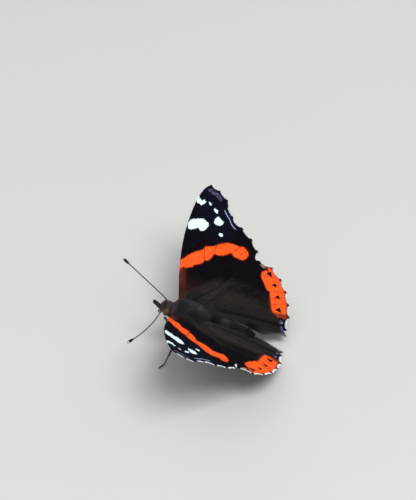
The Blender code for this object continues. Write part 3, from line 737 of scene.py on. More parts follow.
def wingNet(shape, outline, marks, smallMarks):
    # triangles of the whole wing, finer at veins and markings, and the lines of the veins
    step = wing["netStep"]
    edge = evenly(closed(outline), 0.7 * step)[:-1]
    veins = [evenly(curveThrough(line, 10), 0.9 * step) for line in shape["veins"].values()]
    beside = []
    for line in veins:
        along = unit(np.gradient(line, axis=0))
        across = np.stack([-along[:, 1], along[:, 0]], 1) * wing["veinHalfWidth"]
        beside += [line + across, line - across]
    fill = fillIn(outline.min(0), outline.max(0), step)
    spots = [evenly(closed(np.asarray(m, float)), 0.8 * step) for m in marks]
    fine = [fillIn(c - size * 1.4, c + size * 1.4, wing["fineStep"]) for c, size in smallMarks]

    def kept(points, clear):
        points = np.asarray(points)
        return points[depthIn(points, outline) > clear]

    net = thinned(
        [edge, kept(np.vstack(veins), 0.10), kept(np.vstack(beside), 0.12), kept(np.vstack(fine), 0.10),
         kept(np.vstack(spots), 0.12), kept(fill, 0.13)],
        [0.0, 0.12, 0.10, 0.08, 0.12, 0.19])
    count = len(edge)
    edges = [(i, (i + 1) % count) for i in range(count)]
    flat, _, faces, _, _, _ = delaunay_2d_cdt([Vector(p) for p in net], edges, [], 1, 1e-6)
    return np.array([tuple(p) for p in flat]), np.array([tuple(f) for f in faces]), veins


def hindTones(places):
    # light and dark stretches of the hindwing's hair and scales, and painted shadow where the wing meets
    # the abdomen
    a, b = places[:, 0], places[:, 1]
    tan = np.exp(-((a - 4.3 + 0.268 * (b + 1.5)) / 2.2) ** 2) * smoothStep((2.0 - b) / 4.0)
    # painted shadow along the wing beside the abdomen, and painted shade in the hollow at the inner margin
    foldShade = np.exp(-((a - 0.7 + 0.157 * (b + 1.8)) / 0.55) ** 2) * smoothStep((-1.0 - b) / 2.0)
    hollowShade = np.exp(-((a + 0.3) / 1.2) ** 2 - ((b + 9.9) / 1.7) ** 2)
    streaks = 0.5 + 0.5 * np.sin(9.0 * np.arctan2(a + 2.5, 3.5 - b) + 0.25 * b + 1.1)
    far = smoothStep((a - 5.2 - 0.12 * (b + 8.0)) / 4.2)
    return {"tan": tan * mix(0.7, 1.0, streaks), "foldShade": np.maximum(0.75 * foldShade, hollowShade), "far": far}


def wingValues(shape, places, veins, membrane):
    # what the materials read at each point: depths inside the markings, distances from veins and edge
    values = {
        "vein": np.min([lineDistance(places, line) for line in veins], axis=0),
        "edge": np.minimum(lineDistance(places, membrane), 4.0),
        "band": np.clip(depthIn(places, shape["band"]), -3.0, 3.0),
        "cross": np.min([lineDistance(places, np.asarray(line, float)) for line in shape["crossLines"]],
                        axis=0),
        "wingPlace": np.column_stack([places, np.zeros(len(places))]),
    }
    a, b = places[:, 0], places[:, 1]
    if shape is forewing:
        spots = [depthIn(places, outline) for outline in shape["whites"]]
        centre, radius = shape["roundSpot"]
        spots.append(radius - np.hypot(a - centre[0], b - centre[1]))
        values["white"] = np.clip(np.max(spots, axis=0), -2.0, 2.0)
        line = lineDistance(places, curveThrough(shape["violetLine"], 6))
        cloud = lineDistance(places, curveThrough(shape["violetCloud"], 6))
        values["violet"] = np.clip(0.09 - line, -2.0, 1.0)
        values["cloud"] = np.clip(0.42 - cloud, -2.0, 1.0)
        values["base"] = 1.0 - smoothStep((a + 0.5 * b - 2.0) / 7.0)
        costal = lineDistance(places, curveThrough(shape["costa"], 12))
        values["rust"] = ((1.0 - smoothStep((costal - 0.5) / 1.4)) * (1.0 - smoothStep((a - 5.0) / 3.0))
                          * mix(0.35, 1.0, smoothStep((a - 0.5) / 3.0)))
        values["dusty"] = 1.0 - smoothStep((b - 2.7 + 0.32 * a) / 1.5)
        values["dusty"] *= 1.0 - smoothStep((a - 7.5) / 3.5)
        values["navy"] = smoothStep((a - 0.45 * b - 10.0) / 5.0) * smoothStep((b - 3.5) / 3.5)
        values["rear"] = lineDistance(places, curveThrough(shape["inner"], 8))
    else:
        darts = [depthIn(places, dart(c, size)) for c, size in shape["darts"]]
        darts += [0.11 - lineDistance(places, np.asarray(line, float)) for line in shape["frontLines"]]
        values["black"] = np.clip(np.max(darts, axis=0), -2.0, 2.0)
        blue = [size - lineDistance(places, np.array([start, end]))
                for start, end, size in shape["blueSpots"]]
        values["violet"] = np.clip(np.max(blue, axis=0), -2.0, 2.0)
        values["angle"] = np.clip(depthIn(places, shape["anglePatch"]), -2.0, 2.0)
        values["rose"] = np.clip(depthIn(places, shape["roseCorner"]), -2.0, 2.0)
        values["base"] = 1.0 - smoothStep((a - 7.3 - 0.1 * (b + 8.0)) / 3.8)
        values.update(hindTones(places))
        values["fade"] = 1.0 - smoothStep((a - 5.2 + 0.35 * (b + 15.0)) / 1.6)
        values["fade"] *= smoothStep((values["band"] + 0.5) / 0.5)
        values["lilac"] = smoothStep((a - 2.8) / 0.4)
    return values


def makeWing(kind, materials):
    # both wings of a pair, a closed sheet with veins that stand out
    shape, heightOf = wings[kind]
    outline, membrane, _ = wingOutline(shape)
    marks = [shape["band"]]
    if shape is forewing:
        marks += list(shape["whites"])
        small = [shape["roundSpot"]] + [(np.mean(m, axis=0), 0.5) for m in shape["whites"][3:]]
        line = evenly(curveThrough(shape["violetLine"], 6), 0.5)
        small += [(place, 0.16) for place in line]
    else:
        small = list(shape["darts"]) + [(start, 1.2) for start, _, _ in shape["blueSpots"]]
    small = [(np.asarray(place, float), size) for place, size in small]
    places, faces, veins = wingNet(shape, outline, marks, small)
    values = wingValues(shape, places, veins, membrane)
    ridge = wing["veinHeight"] * np.clip(1.0 - values["vein"] / wing["veinHalfWidth"], 0.0, 1.0)
    middle = heightOf(places) - wing["sag"] * smoothStep(values["vein"] / 1.2)
    if shape is forewing:
        under = ridge * smoothStep((places[:, 1] - (1.0 - 0.15 * places[:, 0]) - 4.5) / 2.0)
        over = ridge
    else:
        under = ridge
        over = ridge * (1.0 - covered(places))
    half = wing["thickness"] / 2.0
    count = len(places)
    borders = {}
    for tri in faces:
        for i in range(3):
            borders[(tri[i], tri[(i + 1) % 3])] = True
    walls = []
    for p, q in borders:
        if (q, p) not in borders:
            walls.append((q, p, p + count))
            walls.append((q, p + count, q + count))
    low, high = places.min(0), places.max(0)
    # the unwrap has the upper side on its lower half and the underside above it
    scale = min(0.96 / (high[0] - low[0]), 0.46 / (high[1] - low[1]))
    spread = 0.02 + (places - low) * scale
    bake = np.vstack([spread, spread + (0.0, 0.5)])
    triangles = np.vstack([faces, faces[:, ::-1] + count, walls])
    slotOf = np.r_[np.zeros(len(faces)), np.ones(len(faces)), np.zeros(len(walls))]
    doubled = {key: np.concatenate([value, value]) for key, value in values.items()}
    for side, word in sides:
        top = onWing(kind, side, places, middle + half + over)
        bottom = onWing(kind, side, places, middle - half - under)
        corners = triangles if side > 0 else triangles[:, ::-1]
        piece = addPiece(kind + word.capitalize(), onFloor(np.vstack([top, bottom])), corners, materials,
                         slotOf, doubled, bake)
        faceOutwards(piece)
        settle(piece, kind, kind + "_" + word)
    print(kind, "made:", len(triangles), "triangles each")


# Wing materials

blackGround = rgb(0.0028, 0.0021, 0.0034)
orange = rgb(0.85, 0.100, 0.015)
deepOrange = rgb(0.77, 0.074, 0.012)
whiteScales = rgb(0.68, 0.82, 0.83)

wingFinish = {
    "roughness": 0.72,
    "specular": 0.02,
    "scaleBump": 0.35,
    "scalesPerMillimetre": 8.0,
}


def finishWing(tree, shader, color, place, spread=0.22):
    # each scale a little lighter or darker, and the scales' bump
    out = useGroup(tree, wingScales, {"Place": place, "Per Millimetre": wingFinish["scalesPerMillimetre"]})
    level = rangeOf(tree, out["Tone"], 0.0, 1.0, 1.0 - spread, 1.0 + spread, "LINEAR")
    setColor(tree, shader, lightened(tree, color, level))
    setBump(tree, shader, out["Height"], wingFinish["scaleBump"], 0.02)


def orangeOver(tree, color, place):
    # the orange band with a dark rim and the dark veins that cross it
    cloud = noiseOf(tree, place, 0.9, 3.0)
    body = blendColor(tree, rangeOf(tree, cloud, 0.35, 0.7), orange, deepOrange)
    rim = masked(tree, "band", place, 0.13, 0.30, grow=-0.17)
    body = blendColor(tree, rim, rgb(0.42, 0.026, 0.006), body)
    line = rangeOf(tree, valueAt(tree, "cross"), 0.03, 0.15, 1.0, 0.0)
    body = blendColor(tree, times(tree, line, 0.75), body, rgb(0.20, 0.014, 0.004))
    return layered(tree, color,
                   (masked(tree, "band", place, 0.13, 0.2, grow=0.07), rgb(0.045, 0.006, 0.004)),
                   (masked(tree, "band", place, 0.04, 0.34), body))


def veinLines(tree, farthest, strength):
    return rangeOf(tree, valueAt(tree, "vein"), 0.05, farthest, strength, 0.0)


def makeForewingUpper():
    material, tree, shader = newMaterial("forewingUpper", wingFinish["roughness"], wingFinish["specular"])
    place = placeAt(tree, "wingPlace")
    streak = noiseOf(tree, stretchedPlace(tree, place, (0.5, 2.2, 1.0), 0.5), 1.4, 3.0)
    fleck = noiseOf(tree, place, 3.2, 4.0, 0.7)
    cloud = calc(tree, "MULTIPLY", masked(tree, "cloud", place, 0.30, 0.55),
                 rangeOf(tree, fleck, 0.42, 0.64, 0.0, 0.85))
    haze = masked(tree, "violet", place, 0.35, 0.5, grow=0.25)
    violet = masked(tree, "violet", place, 0.05, 0.12)
    color = layered(
        tree, blackGround,
        (valueAt(tree, "navy"), rgb(0.0030, 0.0035, 0.0095)),
        (valueAt(tree, "base"), rgb(0.0205, 0.0080, 0.0065)),
        (valueAt(tree, "dusty", 0.8), rgb(0.0215, 0.0165, 0.0150)),
        (valueAt(tree, "rust", 0.9), rgb(0.100, 0.0215, 0.0115)),
        (times(tree, rangeOf(tree, streak, 0.45, 0.75), 0.35), rgb(0.0080, 0.0058, 0.0068)),
        (veinLines(tree, 0.16, 0.3), rgb(0.0075, 0.0058, 0.0068)),
        # a lighter line along the inner margin: painted highlight on the edge
        (rangeOf(tree, valueAt(tree, "rear"), 0.02, 0.12, 0.6, 0.0), rgb(0.022, 0.018, 0.019)),
        (cloud, rgb(0.200, 0.195, 0.330)),
        (times(tree, haze, 0.7), rgb(0.012, 0.014, 0.045)),
        (times(tree, violet, 0.9), rgb(0.42, 0.42, 0.64)))
    color = orangeOver(tree, color, place)
    comb = noiseOf(tree, stretchedPlace(tree, place, (0.35, 5.5, 1.0), -0.62), 1.0, 2.0)
    frayed = rangeOf(tree, comb, 0.35, 0.65, -0.16, 0.10, "LINEAR")
    white = calc(tree, "ADD", valueAt(tree, "white"), frayed)
    color = blendColor(tree, rangeOf(tree, white, -0.05, 0.06), color, whiteScales)
    finishWing(tree, shader, color, place)
    return material


def makeHindwingUpper():
    material, tree, shader = newMaterial("hindwingUpper", wingFinish["roughness"], wingFinish["specular"])
    place = placeAt(tree, "wingPlace")
    streak = noiseOf(tree, stretchedPlace(tree, place, (2.2, 0.35, 1.0), -0.45), 1.6, 4.0)
    brown = blendColor(tree, valueAt(tree, "tan"), rgb(0.0185, 0.0150, 0.0140), rgb(0.0310, 0.0245, 0.0205))
    rose = blendColor(tree, noiseOf(tree, place, 5.0, 3.0), rgb(0.10, 0.035, 0.022), rgb(0.42, 0.22, 0.16))
    color = layered(
        tree, blackGround,
        (valueAt(tree, "base"), brown),
        (times(tree, rangeOf(tree, streak, 0.42, 0.72), 0.35), rgb(0.0085, 0.0065, 0.0058)),
        # painted shadow beside the abdomen and in the hollow at the inner margin
        (valueAt(tree, "foldShade"), rgb(0.0085, 0.0067, 0.0060)),
        (masked(tree, "rose", place, 0.12, 0.25), rose))
    color = orangeOver(tree, color, place)
    fade = rangeOf(tree, valueAt(tree, "fade"), 0.0, 1.0)
    margin = rangeOf(tree, valueAt(tree, "edge"), 0.05, 0.17, 0.85, 0.0)
    pale = blendColor(tree, noiseOf(tree, place, 2.2, 2.0), rgb(0.08, 0.09, 0.36), rgb(0.50, 0.46, 0.62))
    inner = masked(tree, "violet", place, 0.1, 0.2, grow=-0.2)
    spot = blendColor(tree, inner, rgb(0.05, 0.06, 0.36), rgb(0.34, 0.34, 0.62))
    spot = blendColor(tree, valueAt(tree, "lilac"), spot, pale)
    color = layered(
        tree, color,
        (times(tree, fade, 0.75), rgb(0.030, 0.009, 0.006)),
        (margin, rgb(0.030, 0.005, 0.004)),
        (masked(tree, "black", place, 0.05, 0.05), rgb(0.012, 0.004, 0.003)),
        (masked(tree, "angle", place, 0.25, 0.30), rgb(0.0045, 0.0040, 0.0080)),
        (times(tree, masked(tree, "violet", place, 0.12, 0.22), 0.9), spot))
    finishWing(tree, shader, color, place)
    return material


def makeForewingUnder():
    material, tree, shader = newMaterial("forewingUnder", 0.6, 0.15)
    place = placeAt(tree, "wingPlace")
    cloud = rangeOf(tree, noiseOf(tree, place, 0.8, 4.0, 0.6), 0.4, 0.62)
    ground = blendColor(tree, cloud, rgb(0.035, 0.026, 0.022), rgb(0.105, 0.078, 0.058))
    rim = masked(tree, "band", place, 0.10, 0.10, grow=-0.16)
    band = blendColor(tree, rim, rgb(0.30, 0.06, 0.05), rgb(0.72, 0.15, 0.085))
    color = layered(
        tree, ground,
        (rangeOf(tree, valueAt(tree, "edge"), 2.0, 4.0, 0.0, 0.8), rgb(0.018, 0.014, 0.014)),
        (masked(tree, "band", place, 0.06, 0.16), band),
        (times(tree, masked(tree, "violet", place, 0.14, 0.2), 0.7), rgb(0.16, 0.20, 0.34)),
        (masked(tree, "white", place, 0.05, 0.16), rgb(0.70, 0.74, 0.76)),
        (veinLines(tree, 0.16, 0.6), rgb(0.12, 0.09, 0.07)))
    finishWing(tree, shader, color, place, 0.3)
    return material


def makeHindwingUnder():
    material, tree, shader = newMaterial("hindwingUnder", 0.6, 0.15)
    place = placeAt(tree, "wingPlace")
    cloud = rangeOf(tree, noiseOf(tree, place, 0.75, 5.0, 0.65), 0.42, 0.58)
    ground = blendColor(tree, cloud, rgb(0.020, 0.015, 0.014), rgb(0.085, 0.062, 0.048))
    fine = noiseOf(tree, place, 2.6, 4.0, 0.6)
    ring = calc(tree, "ABSOLUTE", calc(tree, "SUBTRACT", valueAt(tree, "edge"), 1.3))
    color = layered(
        tree, ground,
        (rangeOf(tree, fine, 0.58, 0.70), rgb(0.19, 0.155, 0.13)),
        (veinLines(tree, 0.18, 0.7), rgb(0.11, 0.085, 0.065)),
        (rangeOf(tree, ring, 0.15, 0.55, 0.45, 0.0), rgb(0.16, 0.15, 0.17)),
        (masked(tree, "black", place, 0.10, 0.2, grow=0.35), rgb(0.10, 0.085, 0.05)),
        (masked(tree, "black", place, 0.08, 0.2), rgb(0.012, 0.012, 0.02)))
    finishWing(tree, shader, color, place, 0.35)
    return material


makeWing("forewing", [makeForewingUpper(), makeForewingUnder()])
makeWing("hindwing", [makeHindwingUpper(), makeHindwingUnder()])


# Tufts: flat tapered locks of two bends, closed at both ends

def tuftArrays(roots, lies, normals, lengths, widths, rises):
    # corner points (count, 10, 3) and the share along the tuft of each corner
    thick = 0.4
    lies = unit(lies)
    normals = unit(normals - lies * (normals * lies).sum(1, keepdims=True))
    across = np.cross(normals, lies)
    rings = []
    shares = []
    for t, swell in ((0.0, 0.75), (0.45, 1.0), (0.8, 0.55)):
        lift = lengths * rises * t * (1.35 - t)
        centre = roots + lies * (lengths * t)[:, None] + normals * lift[:, None]
        if t == 0.0:
            centre = centre - normals * (0.25 * widths)[:, None]
        half = (0.5 * widths * swell)[:, None]
        rings += [centre - across * half, centre + across * half, centre + normals * half * 2.0 * thick]
        shares += [t] * 3
    rings.append(roots + lies * lengths[:, None] + normals * (lengths * rises * 0.35)[:, None])
    shares.append(1.0)
    return np.stack(rings, 1), np.array(shares)


def tuftFaces():
    faces = [(0, 2, 1)]
    for r in (0, 3):
        for i in range(3):
            j = (i + 1) % 3
            faces += [(r + i, r + j, r + 3 + j), (r + i, r + 3 + j, r + 3 + i)]
    faces += [(6, 7, 9), (7, 8, 9), (8, 6, 9)]
    return np.array(faces)


def tuftPiece(name, material, slotName, spread, values, **tufts):
    # spread is each tuft's place on the unwrap of the shape that it grows on
    points, shares = tuftArrays(**tufts)
    count, corners = points.shape[:2]
    faces = (tuftFaces()[None] + (np.arange(count) * corners)[:, None, None]).reshape(-1, 3)
    patch = 0.0015      # half the width of a tuft's patch on the unwrap
    offset = np.column_stack([np.array([-1, 1, 0] * 3 + [0]) * patch, (shares * 2.0 - 1.0) * patch])
    bake = (spread[:, None, :] + offset[None]).reshape(-1, 2)
    cornerValues = {key: np.repeat(value, corners) for key, value in values.items()}
    cornerValues["along"] = np.tile(shares, count)
    flat = points.reshape(-1, 3)
    first = flat[faces[:16]]
    volume = np.einsum("ij,ij->i", first[:, 0], np.cross(first[:, 1], first[:, 2])).sum()
    if volume < 0:
        faces = faces[:, ::-1]
    piece = addPiece(name, onFloor(flat), faces, [material], None, cornerValues, bake)
    settle(piece, slotName)
    print(name, "made:", len(faces), "triangles")


def makeCoatMaterial(name, rootColor, tipColor, spread, extras=(), roughness=0.6, specular=0.3):
    # extras are (value name, colour) pairs laid over in turn, darker at the root
    material, tree, shader = newMaterial(name, roughness, specular)
    tip = tipColor
    root = rootColor
    for key, color in extras:
        amount = valueAt(tree, key)
        tip = blendColor(tree, amount, tip, color)
        root = blendColor(tree, amount, root, darkened(color, 0.45))
    tone = useGroup(tree, coatTone, {"Tone": valueAt(tree, "tone"), "Along": valueAt(tree, "along"),
                                     "Root": root, "Tip": tip, "Spread": spread})
    setColor(tree, shader, tone["Color"])
    return material


# Fringe of the wings' outer edges

fringe = {
    "step": 0.075,
    "width": 0.12,
    "length": 0.40,          # of the white tufts
    "darkLength": 0.27,
    "rooted": 0.10,          # how far the roots reach into the membrane
}


def makeFringe(kind, material):
    # two layers of scale tufts along the outer edge, white in the dashes between the veins
    shape, heightOf = wings[kind]
    rng = np.random.default_rng(11)
    _, membrane, along = wingOutline(shape)
    run = runAlong(membrane)
    count = int(run[-1] / fringe["step"])
    dashes = np.array(shape["dashes"])
    for side, word in sides:
        layers = []
        for layer in (0, 1):
            goal = (np.arange(count) + 0.5 * layer + rng.uniform(-0.3, 0.3, count)) * fringe["step"]
            goal = np.clip(goal, 0.02, run[-1] - 0.02)
            spot = sampled(membrane, run, goal)
            step = unit(sampled(membrane, run, goal + 0.02) - spot)
            where = np.interp(goal, run, along)
            index = np.minimum(where.astype(int), len(dashes) - 1)
            start, end = dashes[index].T
            offCentre = np.abs(where - index - 0.5 * (start + end))
            white = smoothStep((0.5 * (end - start) - offCentre) / 0.07 + 0.5)
            ease = np.clip(np.minimum(where / 0.25, (len(dashes) - where) / 0.4), 0.15, 1.0)
            out = np.stack([-step[:, 1], step[:, 0]], 1)
            out = unit(out + rng.normal(0.0, 0.10, (count, 1)) * step)
            length = mix(fringe["darkLength"], fringe["length"], white)
            length = length * rng.uniform(0.85, 1.12, count) * ease
            root = spot - out * fringe["rooted"]
            height = heightOf(root) + (0.03 if layer else -0.03) - wing["sag"] * 0.3
            base = onWing(kind, side, root, height)
            tip = onWing(kind, side, root + out * 0.3, height)
            _, _, normal = wingAxes(side)
            layers.append({
                "roots": base, "lies": tip - base, "normals": np.tile(normal, (count, 1)),
                "lengths": length + fringe["rooted"],
                "widths": np.full(count, fringe["width"]) * rng.uniform(0.8, 1.2, count),
                "rises": rng.normal(0.0, 0.05, count), "spread": 0.05 + (spot - spot.min(0)) * 0.028,
                "white": white, "tone": rng.uniform(0, 1, count),
            })
        tufts = {key: np.concatenate([part[key] for part in layers]) for key in layers[0]}
        tufts["values"] = {"white": tufts.pop("white"), "tone": tufts.pop("tone")}
        tuftPiece(kind + "Fringe" + word.capitalize(), material, kind, **tufts)


fringeMaterial = makeCoatMaterial("fringeScales", rgb(0.012, 0.010, 0.012), rgb(0.020, 0.016, 0.018), 0.3,
                                  [("white", rgb(0.86, 0.88, 0.90))])
makeFringe("forewing", fringeMaterial)
makeFringe("hindwing", fringeMaterial)


# Body skin

skin = {
    # y, half width, top, bottom
    "sections": (
        (-6.10, 0.30, -0.22, -0.85), (-5.88, 0.72, 0.22, -1.14), (-5.50, 0.98, 0.56, -1.32),
        (-5.05, 1.10, 0.68, -1.40), (-4.55, 1.12, 0.62, -1.40), (-4.10, 1.12, 0.54, -1.38),
        (-3.75, 1.20, 0.66, -1.46), (-3.30, 1.45, 1.02, -1.68), (-2.40, 1.92, 1.50, -2.28),
        (-0.80, 2.20, 1.74, -2.68), (0.90, 2.10, 1.60, -2.55), (2.30, 1.68, 1.12, -2.02),
        (3.20, 1.18, 0.66, -1.48), (3.80, 1.14, 0.60, -1.46), (5.00, 1.44, 0.87, -1.80),
        (7.20, 1.52, 0.88, -1.92), (9.40, 1.30, 0.68, -1.68), (11.40, 0.92, 0.37, -1.20),
        (12.80, 0.44, 0.06, -0.72), (13.10, 0.16, -0.12, -0.50),
    ),
    "widestLevel": 0.62,
    "rings": 150,
    "columns": 72,
    "abdomenStart": 3.4,
    "abdomenEnd": 12.9,
    "abdomenRings": 8,
    "ringStep": 0.07,
}


def skinSection(y):
    table = np.array(skin["sections"])
    fine = curveThrough(table, 24)
    order = np.argsort(fine[:, 0])
    fine = fine[order]
    return [np.interp(y, fine[:, 0], fine[:, k]) for k in (1, 2, 3)]


def skinPoint(y, angle):
    # point of the skin at y; angle 0 is the animal's left, a quarter turn its back
    y = np.asarray(y, float)
    angle = np.asarray(angle, float)
    halfWidth, top, bottom = skinSection(y)
    start, end = skin["abdomenStart"], skin["abdomenEnd"]
    share = np.clip((y - start) / (end - start), 0.0, 1.0) * skin["abdomenRings"]
    behind = (y > start) & (y < end)
    swell = np.where(behind, skin["ringStep"] * ((share % 1.0) ** 0.6 - 1.0), 0.0)
    middle = mix(bottom, top, skin["widestLevel"])
    up = np.sin(angle)
    height = np.where(up > 0, top - middle, middle - bottom)
    return np.stack([(halfWidth + swell) * np.cos(angle), y, middle + (height + swell) * up], -1)


def skinNormal(y, angle):
    # outward and backward directions of the skin
    step = 0.03
    around = skinPoint(y, angle + step) - skinPoint(y, angle - step)
    back = skinPoint(y + step, angle) - skinPoint(y - step, angle)
    normal = unit(np.cross(back, around))
    spoke = np.stack([np.cos(angle), np.zeros_like(angle), np.sin(angle)], -1)
    flip = np.where((normal * spoke).sum(-1) < 0, -1.0, 1.0)
    return normal * flip[..., None], unit(back)


def skinSpread(y, angle):
    # place on the skin's unwrap: round the body by along it
    first, last = skin["sections"][0][0], skin["sections"][-1][0]
    return np.column_stack([0.02 + 0.96 * ((angle / (2 * np.pi)) % 1.0),
                            0.02 + 0.96 * (y - first) / (last - first)])


def coatValues(points):
    # markings, painted sheen and painted shade that skin and coat share, from the place on the body
    x, y, z = points[:, 0], points[:, 1], points[:, 2]
    upper = smoothStep((z + 0.6) / 1.2)
    top = np.exp(-(x / 1.15) ** 2 - ((y - 0.7) / 1.8) ** 2)
    shoulder = np.exp(-((np.abs(x) - 1.1) / 0.6) ** 2 - ((y + 1.9) / 1.2) ** 2)
    blotch = 0.5 + 0.5 * np.sin(3.1 * x + 1.0 + 1.7 * np.sin(1.9 * y)) * np.sin(2.3 * y + 0.6)
    hump = np.exp(-((y - 6.5) / 0.8) ** 2 - ((x - 0.2) / 1.0) ** 2)
    # lighter blue-grey on the back, shoulders and hump, upper side only: partly the hair's own colour,
    # partly painted sheen
    blueHairAndSheen = np.clip(upper * (mix(0.45, 1.0, blotch) * top + 0.5 * shoulder + 0.6 * hump), 0.0, 1.0)
    # painted shade on the upper side: darker at the waist, at the tail end and on the thorax's flanks
    shadeAmount = 0.6 * np.exp(-((y - 3.9) / 0.8) ** 2) + smoothStep((y - 10.4) / 0.9)
    shadeAmount = shadeAmount + 0.2 * np.exp(-((y + 0.2) / 2.6) ** 2) * (1 - top)
    pale = smoothStep((-z - 1.1) / 1.1) * smoothStep((y + 5.8) / 0.8)
    onAbdomen = smoothStep((y - 3.4) / 1.0)
    onHead = smoothStep((-3.2 - y) / 0.6)
    return {"blueHairAndSheen": blueHairAndSheen, "pale": pale * mix(1.0, 0.75, onAbdomen), "brown": onAbdomen, "head": onHead,
            "paintedShade": np.clip(shadeAmount * upper, 0.0, 1.0)}


def makeSkin():
    first, last = skin["sections"][0][0], skin["sections"][-1][0]
    rows, columns = skin["rings"], skin["columns"]
    y = np.repeat(np.linspace(first, last, rows), columns + 1)
    angle = np.tile(np.linspace(0.0, 2.0 * np.pi, columns + 1), rows)
    points = skinPoint(y, angle)
    grid = np.arange(rows * (columns + 1)).reshape(rows, columns + 1)
    quads = np.stack([grid[:-1, :-1], grid[:-1, 1:], grid[1:, 1:], grid[1:, :-1]], -1).reshape(-1, 4)
    front, rear = len(points), len(points) + 1
    points = np.vstack([points, [[0.0, first - 0.05, -0.46]], [[0.0, last + 0.05, -0.30]]])
    caps = []
    for c in range(columns):
        caps.append((front, grid[0, c + 1], grid[0, c], grid[0, c]))
        caps.append((rear, grid[-1, c], grid[-1, c + 1], grid[-1, c + 1]))
    triangles = np.vstack([quads[:, [0, 1, 2]], quads[:, [0, 2, 3]], np.array(caps)[:, :3]])
    spread = skinSpread(np.r_[y, first, last], np.r_[angle, 0.0, 0.0])
    spread[:-2, 0] = 0.02 + 0.96 * angle / (2 * np.pi)
    material, tree, shader = newMaterial("bodySkin", 0.7, 0.25)
    grain = noiseOf(tree, objectPlace(tree), 4200.0, 4.0)
    setColor(tree, shader, layered(
        tree, rgb(0.010, 0.009, 0.010),
        (valueAt(tree, "brown"), rgb(0.016, 0.013, 0.011)),
        # blue-grey on the upper thorax: partly hair colour, partly painted sheen
        (valueAt(tree, "blueHairAndSheen"), rgb(0.026, 0.026, 0.031)),
        (valueAt(tree, "pale"), rgb(0.10, 0.085, 0.07)),
        (rangeOf(tree, grain, 0.3, 0.8), rgb(0.020, 0.017, 0.016))))
    setBump(tree, shader, grain, 0.5, 0.05)
    piece = addPiece("bodySkin", onFloor(points), triangles, [material], None, coatValues(points), spread)
    faceOutwards(piece, merge=1e-7)
    settle(piece, "fur", "head", "thorax", "abdomen")
    print("body skin made:", len(triangles), "triangles")


makeSkin()


# Eyes

eyes = {
    "centre": (1.12, -4.97, -0.72),
    "radii": (0.86, 0.69, 0.85),
    "facets": 20.0,          # to a millimetre
    "rimTufts": 260,
    "overlap": 0.02,         # how far the coat's roots may stand inside an eye
}


def inEye(points):
    centre, radii = np.array(eyes["centre"]), np.array(eyes["radii"]) - eyes["overlap"]
    mirrored = np.column_stack([np.abs(points[:, 0]), points[:, 1:]])
    return (((mirrored - centre) / radii) ** 2).sum(1) < 1.0


def makeEyes():
    material, tree, shader = newMaterial("eyeFacets", 0.4, 0.25)
    place = objectPlace(tree)
    cells = addNode(tree, "ShaderNodeTexVoronoi",
                    {"Vector": place, "Scale": eyes["facets"] / mm, "Randomness": 0.25}, feature="F1")
    setColor(tree, shader, layered(
        tree, rgb(0.046, 0.025, 0.013),
        (rangeOf(tree, noiseOf(tree, place, 900.0, 2.0), 0.35, 0.65), rgb(0.100, 0.060, 0.034)),
        # darker towards the eye's underside: painted shade
        (rangeOf(tree, valueAt(tree, "low"), 0.0, 1.0), rgb(0.030, 0.018, 0.012))))
    setBump(tree, shader, calc(tree, "SUBTRACT", 1.0, cells.outputs["Distance"]), 0.5, 0.03)
    shader.inputs["Coat Weight"].default_value = 0.06
    shader.inputs["Coat Roughness"].default_value = 0.15
    for side, word in sides:
        shape = bmesh.new()
        bmesh.ops.create_icosphere(shape, subdivisions=5, radius=1.0)
        ball = np.array([tuple(v.co) for v in shape.verts])
        faces = np.array([[v.index for v in f.verts] for f in shape.faces])
        shape.free()
        centre = np.array([side * eyes["centre"][0], *eyes["centre"][1:]])
        points = centre + ball * eyes["radii"]
        # painted shade: more towards the eye's underside
        values = {"low": smoothStep((-ball[:, 2] - 0.2) / 0.6)}
        piece = addPiece("eye" + word.capitalize(), onFloor(points), faces, [material], None, values)
        settle(piece, "eye", "eye_" + word)
    print("eyes made")


makeEyes()


# Coat of head, thorax and abdomen

coat = {
    # piece: tufts, first and last y, lengths, widths, rises, wander, splay, lowest sine of the angle
    "thoraxCoat": (9500, -4.0, 3.6, (0.52, 1.10), (0.045, 0.09), (0.10, 0.45), 0.22, 0.0, -1.0),
    "headCoat": (4600, -6.1, -3.9, (0.25, 0.50), (0.03, 0.06), (0.15, 0.6), 0.3, 0.0, -1.0),
    "abdomenCoat": (9500, 3.2, 13.0, (0.45, 0.95), (0.04, 0.08), (0.04, 0.35), 0.2, 0.25, -1.0),
    "mantleHair": (4200, -2.9, 4.6, (0.9, 1.8), (0.03, 0.055), (0.15, 0.45), 0.25, 0.40, -0.1),
    "collarHair": (2600, -4.5, -2.8, (0.7, 1.35), (0.035, 0.06), (0.45, 0.9), 0.35, 0.5, -0.9),
    "crownHair": (420, -5.7, -4.7, (0.35, 0.6), (0.04, 0.07), (0.8, 1.5), 0.5, 0.0, 0.7),
}


